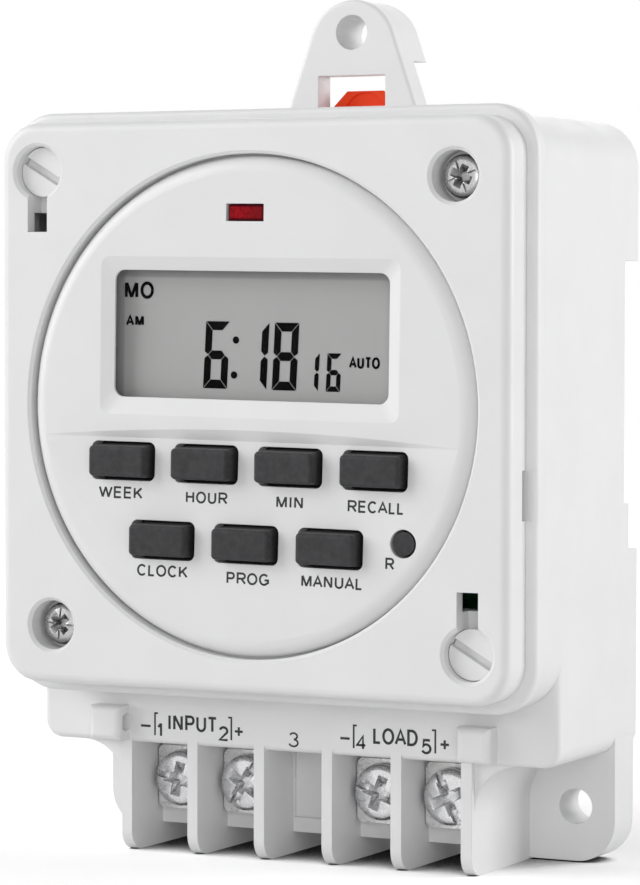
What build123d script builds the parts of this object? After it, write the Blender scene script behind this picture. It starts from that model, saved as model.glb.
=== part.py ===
from build123d import *
import math
import os

# A rail or wall mounted weekly timer switch, in millimetres.
# X runs to the right, Y to the back, Z up. Y = 0 is the mounting plane and Z = 0 the
# middle of the rail. "Depth" below is the distance behind the cover's front face.

os.makedirs("parts", exist_ok=True)

# Housing
DEPTH = 36.0                # cover face to mounting plane
RIM_SIDE = 72.0             # square rim that frames the cover
RIM_CORNER_R = 5.8
RIM_BAND = 2.2              # how far the rim stands round the box, front to back
RIM_EDGE_R = 0.7
BOX_WIDTH = 71.6
BOX_TOP = 35.0
BOX_BOTTOM = -35.8
BOX_CORNER_R = 5.8
BOX_WALL = 2.0
BACK_WALL = 2.0
EDGE_R = 0.8

# Front cover
COVER_SIDE = 69.2
COVER_CORNER_R = 4.8
COVER_DEPTH = 4.8
COVER_EDGE_R = 1.2
COVER_FACE = 2.4            # thickness over the module's flange
PRY_SLOT_TOP = -7.0         # slot in the cover's right side, for a screwdriver
PRY_SLOT_HEIGHT = 5.9
PRY_SLOT_DEEP = 1.1
PRY_SLOT_IN = 2.5
PRY_SLOT_REAR = 0.4         # how far it also cuts into the rim

# Round timer module
MODULE_R = 30.2
MODULE_TURN = 0.75          # the round module sits a little turned in its cover
GROOVE = 0.25               # gap round the module's face
HOLE_EDGE = 0.35            # bevel at the mouth of the cover's round hole
MODULE_EDGE_R = 2.0
FACE_WALL = 2.5
SKIRT_WALL = 1.8
FLANGE_OUT = 2.0
FLANGE_THICK = 1.6
FLANGE_GAP = 0.4
MODULE_DEPTH = 12.9         # skirt's rear end
MODULE_BACK_THICK = 1.4

# Display
GLASS_W = 37.4
GLASS_H = 15.5
GLASS_Z = 8.55
GLASS_CORNER_R = 1.3
BEVEL_OUT = 1.65
BEVEL_LOW = 2.15            # the bevel is wider below the glass
BEVEL_DEEP = 0.6
BEVEL_CORNER_R = 1.2
WINDOW_THICK = 1.6
WINDOW_LAP = 0.9
WINDOW_GAP = 0.1
PANEL_FRONT = 2.7
PANEL_THICK = 2.7
PANEL_LAP = 1.1
STRIP_W = 1.6
STRIP_INSET = 0.3

# Light
LAMP_W = 4.9
LAMP_H = 1.9
LAMP_X = -0.5
LAMP_Z = 23.35
LAMP_SINK = 0.25
LAMP_FLANGE = 0.5
LAMP_FLANGE_THICK = 0.8
LED_W = 3.0
LED_H = 1.6
LED_THICK = 1.9

# Shallow hollow that the keys stand in
HOLLOW_HALF = 28.5
HOLLOW_DEEP = 0.65
HOLLOW_TOP = -2.8
HOLLOW_SLOPE = 1.35         # height of the slope along its upper edge
HOLLOW_END = -27.5          # where its floor has come back to the face
HOLLOW_TURN = 8.0           # arc of the cutter, wider than the face

# Keys
KEY_W = 8.2
KEY_H = 4.15
KEY_CORNER_R = 0.55
KEY_EDGE_R = 0.4
KEY_PROUD = 1.6
KEY_TRAVEL = 1.0
KEY_PITCH = 11.45
KEY_ROW_Z = (-7.06, -16.54)
KEY_NAMES = (("week", "hour", "min", "recall"), ("clock", "prog", "manual"))
KEY_GAP = 0.3               # key to its opening
KEY_FLANGE = 0.65
KEY_FLANGE_THICK = 1.0
KEY_STEM_W = 5.6
KEY_STEM_H = 2.6
RESET_R = 1.4
RESET_X = 21.15
RESET_Z = -15.5
RESET_SINK = 0.2
RESET_TRAVEL = 0.6
MAT_THICK = 1.0
MAT_GAP = 0.4               # mat to the stems that pass it
MAT_W = 47.0
MAT_TOP = -3.0
MAT_BOTTOM = -19.8

# Boards and what they carry
BOARD_THICK = 1.2
DISPLAY_BOARD_DEPTH = 8.2
BOARD_EDGE_GAP = 0.3
POWER_BOARD_DEPTH = 15.8
POWER_BOARD_THICK = 1.6
POWER_BOARD_GAP = 0.5
CHIP_SIDE = 12.0
CHIP_THICK = 1.6
CHIP_X = -7.0
CHIP_Z = -6.0
CRYSTAL_R = 1.0
CRYSTAL_LENGTH = 6.0
CRYSTAL_X = 4.5
CRYSTAL_Z = -6.0
CELL_R = 6.2
CELL_THICK = 2.6
CELL_X = 10.0
CELL_Z = 9.0
LINK_W = 12.7
LINK_H = 2.5
LINK_X = -9.0
LINK_Z = 10.0
LINK_GAP = 0.6
RELAY_W = 28.6
RELAY_X = -5.0
RELAY_CORNER_R = 0.8
RELAY_GAP = 0.3             # relay to the walls above and below it
RELAY_REAR_GAP = 0.9
FILM_CAP_W = 17.5
FILM_CAP_H = 8.0
FILM_CAP_IN = 4.4           # to the box's side
FILM_CAP_REAR_GAP = 2.6
ROUND_CAP_R = 4.0
ROUND_CAP_IN = 2.6          # to the clip's guide
ROUND_CAP_REAR_GAP = 4.6
VARISTOR_REAR_GAP = 2.0
VARISTOR_THICK = 4.2
VARISTOR_X = -19.0
VARISTOR_Z = 6.0
VARISTOR_LIFT = 0.4
BRIDGE_W = 9.0
BRIDGE_H = 6.4
BRIDGE_THICK = 3.0
BRIDGE_X = 9.0
BRIDGE_Z = 6.0

# Module screws
MODULE_SCREW_PLACES = ((-16.5, 20.3), (16.5, 20.3), (-13.5, -22.6), (13.5, -22.6))
MODULE_BOSS_R = 2.4
MODULE_SCREW_R = 1.0
MODULE_SCREW_HEAD_R = 1.8
MODULE_SCREW_HEAD = 0.9
MODULE_SCREW_LENGTH = 9.5
SCREW_GAP = 0.05            # thread to its hole
HEAD_GAP = 0.2

# Board screws
BOARD_SCREW_IN = 2.6        # to the box's inner side
BOARD_SCREW_Z = 9.0
BOARD_BOSS_R = 2.6
BOARD_SCREW_R = 1.2
BOARD_SCREW_HEAD_R = 2.2
BOARD_SCREW_HEAD = 1.2
BOARD_SCREW_LENGTH = 8.0

# Corner fittings
POST_X = 29.3
POST_Z = 28.6
POST_HEAD_R = 3.05
POST_RECESS_GAP = 0.1
POST_HEAD_SINK = 1.5
POST_RECESS_DEEP = 3.3
RECESS_EDGE = 0.4           # bevel at the mouth of the latch and screw recesses
POST_NECK_R = 2.0
POST_SLOT_W = 1.0
POST_SLOT_DEEP = 1.0
POST_SLOT_ANGLE = 30.0
CAM_R = 4.7
CAM_FLAT = 2.4
CAM_THICK = 1.5
CAM_GAP = 0.1
LIP_THICK = 1.2
LIP_START = 2.7             # post axis to the lip that the cam holds
KEYHOLE_W = 2.75
KEYHOLE_END = 7.4
KEYHOLE_POCKET = 2.0        # clear space behind the keyhole, beyond its sides
KEYHOLE_LOW = 1.0           # and below it
KEYHOLE_WALL = 1.6
KEYHOLE_RIB = 0.8           # cover left between that space and the flange
KEYHOLE_FLOOR = 5.0
COVER_SCREW_AT = 27.4
COVER_SCREW_HEAD_R = 2.6
COVER_SCREW_HEAD = 1.7
COVER_SCREW_EDGE = 0.6
COVER_SCREW_R = 1.45
COVER_SCREW_LENGTH = 13.0
COVER_SCREW_RECESS_R = 3.05
COVER_SCREW_RECESS = 3.6
PILLAR_SIDE = 22.9          # corner pillars start this far to the side
PILLAR_LOW = 19.0           # and this far up or down
PILLAR_GAP = 0.7            # pillar to the module's skirt

# Cross recess and slot in screw heads
CROSS_W = 0.8
CROSS_DEEP = 0.9
CROSS_REACH = 0.6           # half its length, as a share of the head's radius
COVER_CROSS_TURN = 30.0
TERMINAL_CROSS_TURN = 10.0

# Terminal block
WAYS = 5
WAY_PITCH = 9.45
BARRIER = 1.45
BARRIER_BOTTOM = -56.8
BARRIER_CORNER_R = 2.5
SHELF_DEPTH = 12.1
SHELF_BOTTOM = -43.0
SHELF_CORNER_R = 2.3
SHELF_WALL = 2.0
GUSSET_R = 6.0
LEDGE_DEPTH = 20.0
LEDGE_BOTTOM = -54.1
PLATE_THICK = 0.8
PLATE_SEAT = 0.5
PLATE_BOTTOM = -52.1
PLATE_GAP = 0.15
PLATE_LEG_GAP = 0.1
CLAMP_Z = -48.0
CLAMP_H = 8.1
CLAMP_THICK = 1.0
CLAMP_CORNER_R = 0.9
CLAMP_GAP = 0.15
CLAMP_TRAVEL = 3.0
TERMINAL_SCREW_R = 1.7
TERMINAL_THREAD = 5.0       # thread still in the plate when the clamp is up
TERMINAL_HEAD_R = 3.5
TERMINAL_HEAD = 2.1
TERMINAL_HEAD_EDGE = 0.6
TERMINAL_HOLE_GAP = 0.4
TERMINAL_HOLE_SPARE = 2.2   # hole past the screw's end
CORE_W = 6.4
CORE_TOP = -44.6
CORE_BOTTOM = -52.6
CORE_DEPTH = 30.8
PIVOT_IN = 23.3             # raised blocks that a terminal lid hinges on
PIVOT_OUT = 27.7
PIVOT_RAISE = 2.6
PIVOT_TOP = -38.3
PIVOT_BOTTOM = -42.6
PIVOT_R = 1.15
PIVOT_UP = 0.7              # dimple's middle, out from the shelf
PIVOT_SINK = 0.9

# Ears
EAR_GAP = 0.8               # ears stop short of the mounting plane
EAR_HOLE_R = 2.2
EAR_EDGE_R = 0.5
LOW_EAR_THICK = 5.9
LOW_EAR_X = 30.6
LOW_EAR_Z = -49.8
LOW_EAR_BOTTOM = -56.6
LOW_EAR_CORNER_R = 5.0
TOP_EAR_THICK = 7.2
TOP_EAR_Z = 46.6
TOP_EAR_R = 6.1
TOP_EAR_CENTRE_Z = 44.6
TOP_EAR_FOOT = 9.3
TOP_EAR_THIN = 3.4
TOP_EAR_STEP_Z = 43.0
EAR_WINDOW_W = 9.5
EAR_WINDOW_TOP = 41.2
EAR_WINDOW_BOTTOM = 36.0

# Rail channel and its clip
RAIL_W = 35.0
RAIL_THICK = 1.0
RAIL_GAP_ABOVE = 0.2
RAIL_GAP_BELOW = 0.5
CHANNEL_STEP = -12.3
CHANNEL_DEEP = 4.2
CHANNEL_SHALLOW = 2.7
HOOK_LAP = 1.3
HOOK_GAP = 0.3
HOOK_IN = 10.0
HOOK_W = 8.0
CLIP_W = 13.0
CLIP_THICK = 1.4
CLIP_GAP = 0.1
CLIP_BOTTOM = -9.5
CLIP_TOP = 39.4
CLIP_TIP_HALF = 2.55
CLIP_TRAVEL = 3.0
CLIP_NOSE_W = 8.6
CLIP_NOSE_TALL = 4.0
CLIP_NOSE_GAP = 0.2
CLIP_DISH_R = 2.9
CLIP_DISH_DEEP = 0.3
CLIP_DISH_Z = 36.3
SPRING_WINDOW_W = 5.0
SPRING_TOP = 9.0
SPRING_LENGTH = 9.4
SPRING_R = 1.0
SPRING_SINK = 1.0           # the spring lies this far into the channel floor
SPRING_GAP = 0.05
SPRING_WIRE_R = 0.15
SPRING_TURNS = 5
SPRING_STOP = 2.2

# Places worked out from the sizes above
BACK = DEPTH
CHANNEL_TOP = RAIL_W / 2 + RAIL_GAP_ABOVE
CHANNEL_BOTTOM = -RAIL_W / 2 - RAIL_GAP_BELOW
HALF = BOX_WIDTH / 2
CAVITY_HALF = HALF - BOX_WALL
CAVITY_TOP = BOX_TOP - BOX_WALL
CAVITY_BOTTOM = BOX_BOTTOM + BOX_WALL
CHANNEL_FLOOR = BACK - CHANNEL_DEEP
CAVITY_DEPTH = CHANNEL_FLOOR - BACK_WALL
POCKET_DEPTH = BACK - BACK_WALL
GUIDE_SIDE = CLIP_W / 2 + CLIP_GAP + BOX_WALL
UPPER_POCKET_LOW = CHANNEL_TOP + BOX_WALL
LOWER_POCKET_HIGH = CHANNEL_BOTTOM - BOX_WALL
RIM_BACK = COVER_DEPTH + RIM_BAND
MODULE_HOLE_R = MODULE_R + GROOVE
FLANGE_R = MODULE_R + FLANGE_OUT
FLANGE_BACK = COVER_FACE + FLANGE_THICK
SKIRT_INNER_R = MODULE_R - SKIRT_WALL
MODULE_BACK_END = MODULE_DEPTH + MODULE_BACK_THICK
DISPLAY_BOARD_BACK = DISPLAY_BOARD_DEPTH + BOARD_THICK
POWER_BOARD_BACK = POWER_BOARD_DEPTH + POWER_BOARD_THICK
KEY_REST_BACK = DISPLAY_BOARD_DEPTH - KEY_TRAVEL
CAM_FRONT = COVER_DEPTH + LIP_THICK + CAM_GAP
CAM_BACK = CAM_FRONT + CAM_THICK
PILLAR_R = MODULE_R + PILLAR_GAP
PLATE_FRONT = LEDGE_DEPTH + PLATE_SEAT - PLATE_THICK
PLATE_BACK = LEDGE_DEPTH + PLATE_SEAT
CLAMP_FRONT = PLATE_FRONT - CLAMP_THICK
TERMINAL_SCREW_END = CLAMP_FRONT + CLAMP_TRAVEL + TERMINAL_THREAD
WAY_INNER = WAY_PITCH - BARRIER
CLAMP_W = WAY_INNER - 2 * CLAMP_GAP
PLATE_W = WAY_INNER - 2 * PLATE_GAP - 2 * CLAMP_GAP
BLOCK_HALF = (WAYS * WAY_PITCH + BARRIER) / 2
EMPTY_WAY = (WAYS + 1) // 2
LEG_BOTTOM = CAVITY_BOTTOM + PLATE_LEG_GAP
LEG_TOP = LEG_BOTTOM + PLATE_THICK
BOARD_SCREW_X = CAVITY_HALF - BOARD_SCREW_IN
RELAY_BOTTOM = LEG_TOP + RELAY_GAP
RELAY_TOP = LOWER_POCKET_HIGH - RELAY_GAP
CAP_Z = (UPPER_POCKET_LOW + CAVITY_TOP) / 2
VARISTOR_R = (CAVITY_DEPTH - VARISTOR_REAR_GAP - POWER_BOARD_BACK - VARISTOR_LIFT) / 2
EAR_BACK = BACK - EAR_GAP
LOW_EAR_DEPTH = EAR_BACK - LOW_EAR_THICK
TOP_EAR_DEPTH = EAR_BACK - TOP_EAR_THICK
CLIP_FRONT = CHANNEL_FLOOR + CLIP_GAP
CLIP_BACK = CLIP_FRONT + CLIP_THICK
RAIL_BACK = CLIP_BACK + RAIL_THICK
HOOK_DEPTH = RAIL_BACK + HOOK_GAP


def way_x(way):
    """Middle of a terminal way, counted from 1 at the left."""
    return (way - (WAYS + 1) / 2) * WAY_PITCH


def slab(sketch, near, far):
    """A sketch drawn in X and Z, made solid from depth near to depth far."""
    plane = Plane(origin=(0, far - DEPTH, 0), x_dir=(1, 0, 0), z_dir=(0, -1, 0))
    return extrude(plane * sketch, amount=far - near)


def bar(profile, left, right):
    """A profile drawn in depth and Z, made solid from X left to X right."""
    plane = Plane(origin=(left, -DEPTH, 0), x_dir=(0, 1, 0), z_dir=(1, 0, 0))
    return extrude(plane * profile, amount=right - left)


def rect(left, right, bottom, top):
    """A rectangle between two sides and two levels."""
    middle = Pos((left + right) / 2, (bottom + top) / 2)
    return middle * Rectangle(right - left, top - bottom)


def block(left, right, near, far, bottom, top):
    """A box between limits in X, depth and Z."""
    return slab(rect(left, right, bottom, top), near, far)


def rod(x, z, radius, near, far):
    """A round bar that runs front to back."""
    return slab(Pos(x, z) * Circle(radius), near, far)


def rounded_front(solid, radius):
    """Rounds the outer edge of a solid's foremost face."""
    front = solid.faces().sort_by(Axis.Y)[0]
    return fillet(front.outer_wire().edges(), radius)


def chamfered_front(solid, reach):
    """Bevels the outer edge of a solid's foremost face."""
    front = solid.faces().sort_by(Axis.Y)[0]
    return chamfer(front.outer_wire().edges(), reach)


def mouth(x, z, radius, reach):
    """The bevelled mouth of a round hole in the cover's front face."""
    cone = Rot(90, 0, 0) * Cone(radius, radius + reach, reach)
    return Pos(x, reach / 2 - DEPTH, z) * cone


def box_outline(half, top, bottom, top_r, bottom_r):
    """A rectangle with its own corner radius at the top and at the bottom."""
    outline = rect(-half, half, bottom, top)
    outline = fillet(outline.vertices().group_by(Axis.Y)[-1], top_r)
    return fillet(outline.vertices().group_by(Axis.Y)[0], bottom_r)


def seated(solid):
    """Turns a piece of the round module to the way the module sits in the cover."""
    return Rot(0, MODULE_TURN, 0) * solid


def cross(x, z, depth, reach, turn):
    """The cross recess in a screw head whose face is at that depth."""
    arms = Rectangle(2 * reach, CROSS_W) + Rectangle(CROSS_W, 2 * reach)
    return slab(Pos(x, z) * Rot(0, 0, turn) * arms, depth - CROSS_DEEP, depth + CROSS_DEEP)


def key_places():
    """Name, X and Z of every key on the module."""
    places = []
    for names, z in zip(KEY_NAMES, KEY_ROW_Z):
        first = -(len(names) - 1) / 2 * KEY_PITCH
        places += [(name, first + i * KEY_PITCH, z) for i, name in enumerate(names)]
    return places


def mirrored(solid):
    """A solid and its copy on the other side of the middle plane."""
    return solid + mirror(solid, Plane.YZ)


def opposite(solid):
    """The same solid, half a turn round the module's axis."""
    return Rot(0, 180, 0) * solid


# Rear base

def box_shell():
    """Rim, box and label shelf, with the walls cut out."""
    rim = slab(RectangleRounded(RIM_SIDE, RIM_SIDE, RIM_CORNER_R), COVER_DEPTH, RIM_BACK)
    rim = rounded_front(rim, RIM_EDGE_R)
    front = box_outline(HALF, BOX_TOP, BOX_BOTTOM, BOX_CORNER_R, BOX_CORNER_R)
    rear = box_outline(HALF, BOX_TOP, SHELF_BOTTOM, BOX_CORNER_R, SHELF_CORNER_R)
    shelf = rounded_front(slab(rear, SHELF_DEPTH, BACK), EDGE_R)
    shell = rim + slab(front, RIM_BACK, BACK) + shelf
    inner_r = BOX_CORNER_R - BOX_WALL
    inner = box_outline(CAVITY_HALF, CAVITY_TOP, CAVITY_BOTTOM, inner_r, inner_r)
    shell -= slab(inner, COVER_DEPTH, CAVITY_DEPTH)
    return shell


def lower_pocket():
    """Deep room behind the shelf, below the rail channel."""
    near = SHELF_DEPTH + SHELF_WALL
    bottom = SHELF_BOTTOM + SHELF_WALL
    shelf_room = block(-CAVITY_HALF, CAVITY_HALF, near, POCKET_DEPTH, bottom, CAVITY_BOTTOM)
    deep_room = block(-CAVITY_HALF, CAVITY_HALF, near, POCKET_DEPTH, CAVITY_BOTTOM, LOWER_POCKET_HIGH)
    return shelf_room + deep_room


def upper_pockets():
    """Deep rooms beside the clip's guide, above the rail channel."""
    room = rect(GUIDE_SIDE, CAVITY_HALF, UPPER_POCKET_LOW, CAVITY_TOP)
    room = fillet(room.vertices().sort_by(Axis.X)[-2:].sort_by(Axis.Y)[-1], BOX_CORNER_R - BOX_WALL)
    return mirrored(slab(room, COVER_DEPTH, POCKET_DEPTH))


def corner_sketch(into):
    """The corner outside the module, at the upper right, that far into the box's walls."""
    outline = rect(PILLAR_SIDE, CAVITY_HALF + into, PILLAR_LOW, CAVITY_TOP + into)
    corner = outline.vertices().sort_by(Axis.X)[-2:].sort_by(Axis.Y)[-1]
    return fillet(corner, BOX_CORNER_R - BOX_WALL + into) - Circle(PILLAR_R)


def flange_pad():
    """The step that the module's flange rests on, at the upper right."""
    pad = corner_sketch(0) & Circle(FLANGE_R + FLANGE_GAP / 2)
    return slab(pad, FLANGE_BACK, COVER_DEPTH)


def screw_pillar():
    """The corner pillar that takes a cover screw, at the upper right."""
    pillar = slab(corner_sketch(BOX_WALL / 2), COVER_DEPTH, POCKET_DEPTH) + flange_pad()
    hole_end = COVER_SCREW_RECESS + COVER_SCREW_LENGTH + 2 * HEAD_GAP
    hole_r = COVER_SCREW_R + SCREW_GAP
    return pillar - rod(COVER_SCREW_AT, COVER_SCREW_AT, hole_r, FLANGE_BACK, hole_end)


def keyhole_room():
    """Outline of the clear space behind a latch's keyhole, at the upper left."""
    side = KEYHOLE_W / 2 + KEYHOLE_POCKET
    room = rect(-side, side, -KEYHOLE_END - KEYHOLE_LOW, -KEYHOLE_FLOOR)
    return Pos(-POST_X, POST_Z) * room - Circle(FLANGE_R + FLANGE_GAP + KEYHOLE_RIB)


def latch_lug():
    """The corner plate with the lip that the latch's cam turns behind, at the upper left."""
    plate = slab(corner_sketch(BOX_WALL / 2), COVER_DEPTH, COVER_DEPTH + LIP_THICK)
    plate = mirror(plate + flange_pad(), Plane.YZ)
    way_in = Circle(CAM_R + HEAD_GAP) & rect(-CAM_R, CAM_R + HEAD_GAP, -2 * CAM_R, LIP_START)
    way_in += rect(-CAM_R - HEAD_GAP, 0, -CAM_R, LIP_START) & Circle(CAM_R + HEAD_GAP)
    way_in = Pos(-POST_X, POST_Z) * way_in + keyhole_room()
    return plate - slab(way_in, FLANGE_BACK, CAM_FRONT)


def cam_room():
    """Space in the walls for the cam to turn, at the upper left."""
    return rod(-POST_X, POST_Z, CAM_R + HEAD_GAP, CAM_FRONT - CAM_GAP, CAM_BACK + HEAD_GAP)


def board_bosses():
    """Four bosses in the box that carry the power board."""
    hole_end = POWER_BOARD_DEPTH + BOARD_SCREW_LENGTH + HEAD_GAP
    bosses = []
    for x in (-BOARD_SCREW_X, BOARD_SCREW_X):
        for z in (-BOARD_SCREW_Z, BOARD_SCREW_Z):
            boss = rod(x, z, BOARD_BOSS_R, POWER_BOARD_BACK, CAVITY_DEPTH)
            hole = rod(x, z, BOARD_SCREW_R + SCREW_GAP, POWER_BOARD_BACK, hole_end)
            bosses.append(boss - hole)
    return bosses


def barrier(x):
    """One wall between terminal ways, with its rounded lower front corner."""
    profile = rect(SHELF_DEPTH, BACK, BARRIER_BOTTOM, SHELF_BOTTOM + SHELF_WALL / 2)
    corner = profile.vertices().sort_by(Axis.X)[:2].sort_by(Axis.Y)[0]
    return bar(fillet(corner, BARRIER_CORNER_R), x - BARRIER / 2, x + BARRIER / 2)


def gusset():
    """The hollow curve between the shelf and the right side of the terminal block."""
    outer = BLOCK_HALF + GUSSET_R
    corner = rect(BLOCK_HALF, outer, SHELF_BOTTOM - GUSSET_R, SHELF_BOTTOM)
    corner -= Pos(outer, SHELF_BOTTOM - GUSSET_R) * Circle(GUSSET_R)
    return slab(corner, SHELF_DEPTH + EDGE_R, EAR_BACK)


def terminal_block():
    """The ledge and walls of the terminal block."""
    ledge = block(-BLOCK_HALF, BLOCK_HALF, LEDGE_DEPTH, BACK, LEDGE_BOTTOM, SHELF_BOTTOM)
    for i in range(WAYS + 1):
        ledge += barrier(way_x(1) - WAY_PITCH / 2 + i * WAY_PITCH)
    for way in range(1, WAYS + 1):
        x = way_x(way)
        ledge -= block(x - CORE_W / 2, x + CORE_W / 2, CORE_DEPTH, BACK, CORE_BOTTOM, CORE_TOP)
    return ledge + mirrored(gusset())


def plate_ways():
    """Seats, slots and screw holes for the terminal plates."""
    cuts = []
    half = PLATE_W / 2 + PLATE_GAP
    hole_r = TERMINAL_SCREW_R + TERMINAL_HOLE_GAP
    for way in range(1, WAYS + 1):
        x = way_x(way)
        bottom = PLATE_BOTTOM - PLATE_GAP
        top = SHELF_BOTTOM + SHELF_WALL
        seat_top = SHELF_BOTTOM if way == EMPTY_WAY else top
        cuts.append(block(x - half, x + half, PLATE_FRONT - PLATE_GAP, PLATE_BACK, bottom, seat_top))
        if way != EMPTY_WAY:
            cuts.append(rod(x, CLAMP_Z, hole_r, LEDGE_DEPTH, TERMINAL_SCREW_END + TERMINAL_HOLE_SPARE))
    return cuts


def lid_pivot():
    """The raised block at the right end of the shelf, with its pivot dimple."""
    near = SHELF_DEPTH - PIVOT_RAISE
    pivot = block(PIVOT_IN, PIVOT_OUT, near, SHELF_DEPTH + EDGE_R, PIVOT_BOTTOM, PIVOT_TOP)
    pivot = rounded_front(pivot, EDGE_R)
    dimple = Pos(SHELF_DEPTH - PIVOT_UP, (PIVOT_TOP + PIVOT_BOTTOM) / 2) * Circle(PIVOT_R)
    return pivot - bar(dimple, PIVOT_IN - PIVOT_SINK, PIVOT_IN + PIVOT_SINK)


def low_ear():
    """The lower right screw ear."""
    outline = rect(BLOCK_HALF - BARRIER, HALF, LOW_EAR_BOTTOM, SHELF_BOTTOM + SHELF_WALL)
    corner = outline.vertices().sort_by(Axis.X)[-2:].sort_by(Axis.Y)[0]
    ear = slab(fillet(corner, LOW_EAR_CORNER_R), LOW_EAR_DEPTH, EAR_BACK)
    return ear - rod(LOW_EAR_X, LOW_EAR_Z, EAR_HOLE_R, LOW_EAR_DEPTH, EAR_BACK)


def top_ear():
    """The upper screw ear, thin round its window and thick round its hole."""
    foot = BOX_TOP - BOX_WALL / 2
    foot_half = TOP_EAR_FOOT + BOX_WALL / 4
    cap = Pos(0, TOP_EAR_CENTRE_Z) * Circle(TOP_EAR_R)
    outline = make_hull(cap.edges() + rect(-foot_half, foot_half, foot, BOX_TOP).edges())
    ear = rounded_front(slab(outline, TOP_EAR_DEPTH, EAR_BACK), EAR_EDGE_R)
    behind = TOP_EAR_DEPTH + TOP_EAR_THIN
    wide = 2 * foot_half
    ear -= block(-wide, wide, behind, BACK, foot, TOP_EAR_STEP_Z)
    window = rect(-EAR_WINDOW_W / 2, EAR_WINDOW_W / 2, EAR_WINDOW_BOTTOM, EAR_WINDOW_TOP)
    ear -= slab(window, TOP_EAR_DEPTH, behind)
    return ear - rod(0, TOP_EAR_Z, EAR_HOLE_R, TOP_EAR_DEPTH, EAR_BACK)


def channel():
    """The rail channel across the back, and the guide of its clip."""
    cut = block(-HALF, HALF, CHANNEL_FLOOR, BACK, CHANNEL_STEP, CHANNEL_TOP)
    cut += block(-HALF, HALF, BACK - CHANNEL_SHALLOW, BACK, CHANNEL_BOTTOM, CHANNEL_STEP)
    half = CLIP_W / 2 + CLIP_GAP
    cut += block(-half, half, CHANNEL_FLOOR, CLIP_BACK + CLIP_GAP, CHANNEL_TOP, BOX_TOP)
    nose_half = CLIP_NOSE_W / 2 + CLIP_NOSE_GAP
    nose_end = CHANNEL_TOP + CLIP_NOSE_TALL + CLIP_TRAVEL
    cut += block(-nose_half, nose_half, CLIP_BACK, BACK, CHANNEL_TOP, nose_end)
    groove = SPRING_R + SPRING_WIRE_R + SPRING_GAP
    floor = CHANNEL_FLOOR - SPRING_SINK
    return cut + block(-groove, groove, floor, CHANNEL_FLOOR, SPRING_TOP - SPRING_LENGTH, SPRING_TOP)


def rail_hooks():
    """Two fixed hooks that go behind the rail's lower edge."""
    top = CHANNEL_BOTTOM + HOOK_LAP
    hook = block(HOOK_IN, HOOK_IN + HOOK_W, HOOK_DEPTH, BACK, CHANNEL_BOTTOM, top)
    return mirrored(hook)


def spring_stop():
    """The lug on the channel floor that the clip's spring presses against."""
    half = SPRING_WINDOW_W / 2 - CLIP_GAP
    return block(-half, half, CHANNEL_FLOOR, CLIP_BACK, SPRING_TOP, SPRING_TOP + SPRING_STOP)


def rear_base():
    """The whole moulded base."""
    base = box_shell() - lower_pocket() - upper_pockets()
    base += screw_pillar() + opposite(screw_pillar())
    base += latch_lug() + opposite(latch_lug())
    base -= cam_room() + opposite(cam_room())
    for boss in board_bosses():
        base += boss
    base += terminal_block() + mirrored(lid_pivot()) + mirrored(low_ear()) + top_ear()
    for cut in plate_ways():
        base -= cut
    base -= channel()
    base += rail_hooks() + spring_stop()
    base -= pry_slot(HALF - BOX_WALL / 2)
    return base


# Cover and its fittings

def pry_slot(inner):
    """The screwdriver slot between cover and rim, at the right, from its inner end out."""
    bottom = PRY_SLOT_TOP - PRY_SLOT_HEIGHT
    near = COVER_DEPTH - PRY_SLOT_DEEP
    return block(inner, RIM_SIDE, near, COVER_DEPTH + PRY_SLOT_REAR, bottom, PRY_SLOT_TOP)


def front_cover():
    """The square frame that holds the round module."""
    cover = slab(RectangleRounded(COVER_SIDE, COVER_SIDE, COVER_CORNER_R), 0, COVER_DEPTH)
    cover = rounded_front(cover, COVER_EDGE_R)
    cover -= rod(0, 0, MODULE_HOLE_R, 0, COVER_DEPTH) + mouth(0, 0, MODULE_HOLE_R, HOLE_EDGE)
    cover -= rod(0, 0, FLANGE_R + FLANGE_GAP, COVER_FACE, COVER_DEPTH)
    cover -= screw_recess() + opposite(screw_recess())
    cover -= post_recess() + opposite(post_recess())
    return cover - pry_slot(COVER_SIDE / 2 - PRY_SLOT_IN)


def screw_recess():
    """The round recess and hole for a cover screw, at the upper right."""
    at = COVER_SCREW_AT
    recess = rod(at, at, COVER_SCREW_RECESS_R, 0, COVER_SCREW_RECESS)
    recess += mouth(at, at, COVER_SCREW_RECESS_R, RECESS_EDGE)
    return recess + rod(at, at, COVER_SCREW_R + SCREW_GAP, 0, COVER_DEPTH)


def post_recess():
    """The recess, neck hole and keyhole of a turn latch, at the upper left."""
    recess_r = POST_HEAD_R + POST_RECESS_GAP
    recess = rod(-POST_X, POST_Z, recess_r, 0, POST_RECESS_DEEP)
    recess += mouth(-POST_X, POST_Z, recess_r, RECESS_EDGE)
    recess += rod(-POST_X, POST_Z, POST_NECK_R + SCREW_GAP, 0, COVER_DEPTH)
    keyhole = rect(-KEYHOLE_W / 2, KEYHOLE_W / 2, -KEYHOLE_END, 0)
    recess += slab(Pos(-POST_X, POST_Z) * keyhole, 0, POST_RECESS_DEEP)
    return recess + slab(keyhole_room(), KEYHOLE_WALL, COVER_DEPTH)


def latch_post():
    """A slotted turn latch with its cam, at the upper left."""
    post = rod(0, 0, POST_HEAD_R, POST_HEAD_SINK, POST_RECESS_DEEP)
    post += rod(0, 0, POST_NECK_R, POST_RECESS_DEEP, CAM_FRONT)
    cam = Circle(CAM_R) & rect(-CAM_FLAT, CAM_R, -CAM_R, CAM_R)
    post += slab(cam, CAM_FRONT, CAM_BACK)
    slot = Rot(0, 0, -POST_SLOT_ANGLE) * Rectangle(3 * POST_HEAD_R, POST_SLOT_W)
    post -= slab(slot, POST_HEAD_SINK, POST_HEAD_SINK + POST_SLOT_DEEP)
    return Pos(-POST_X, 0, POST_Z) * post


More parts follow.
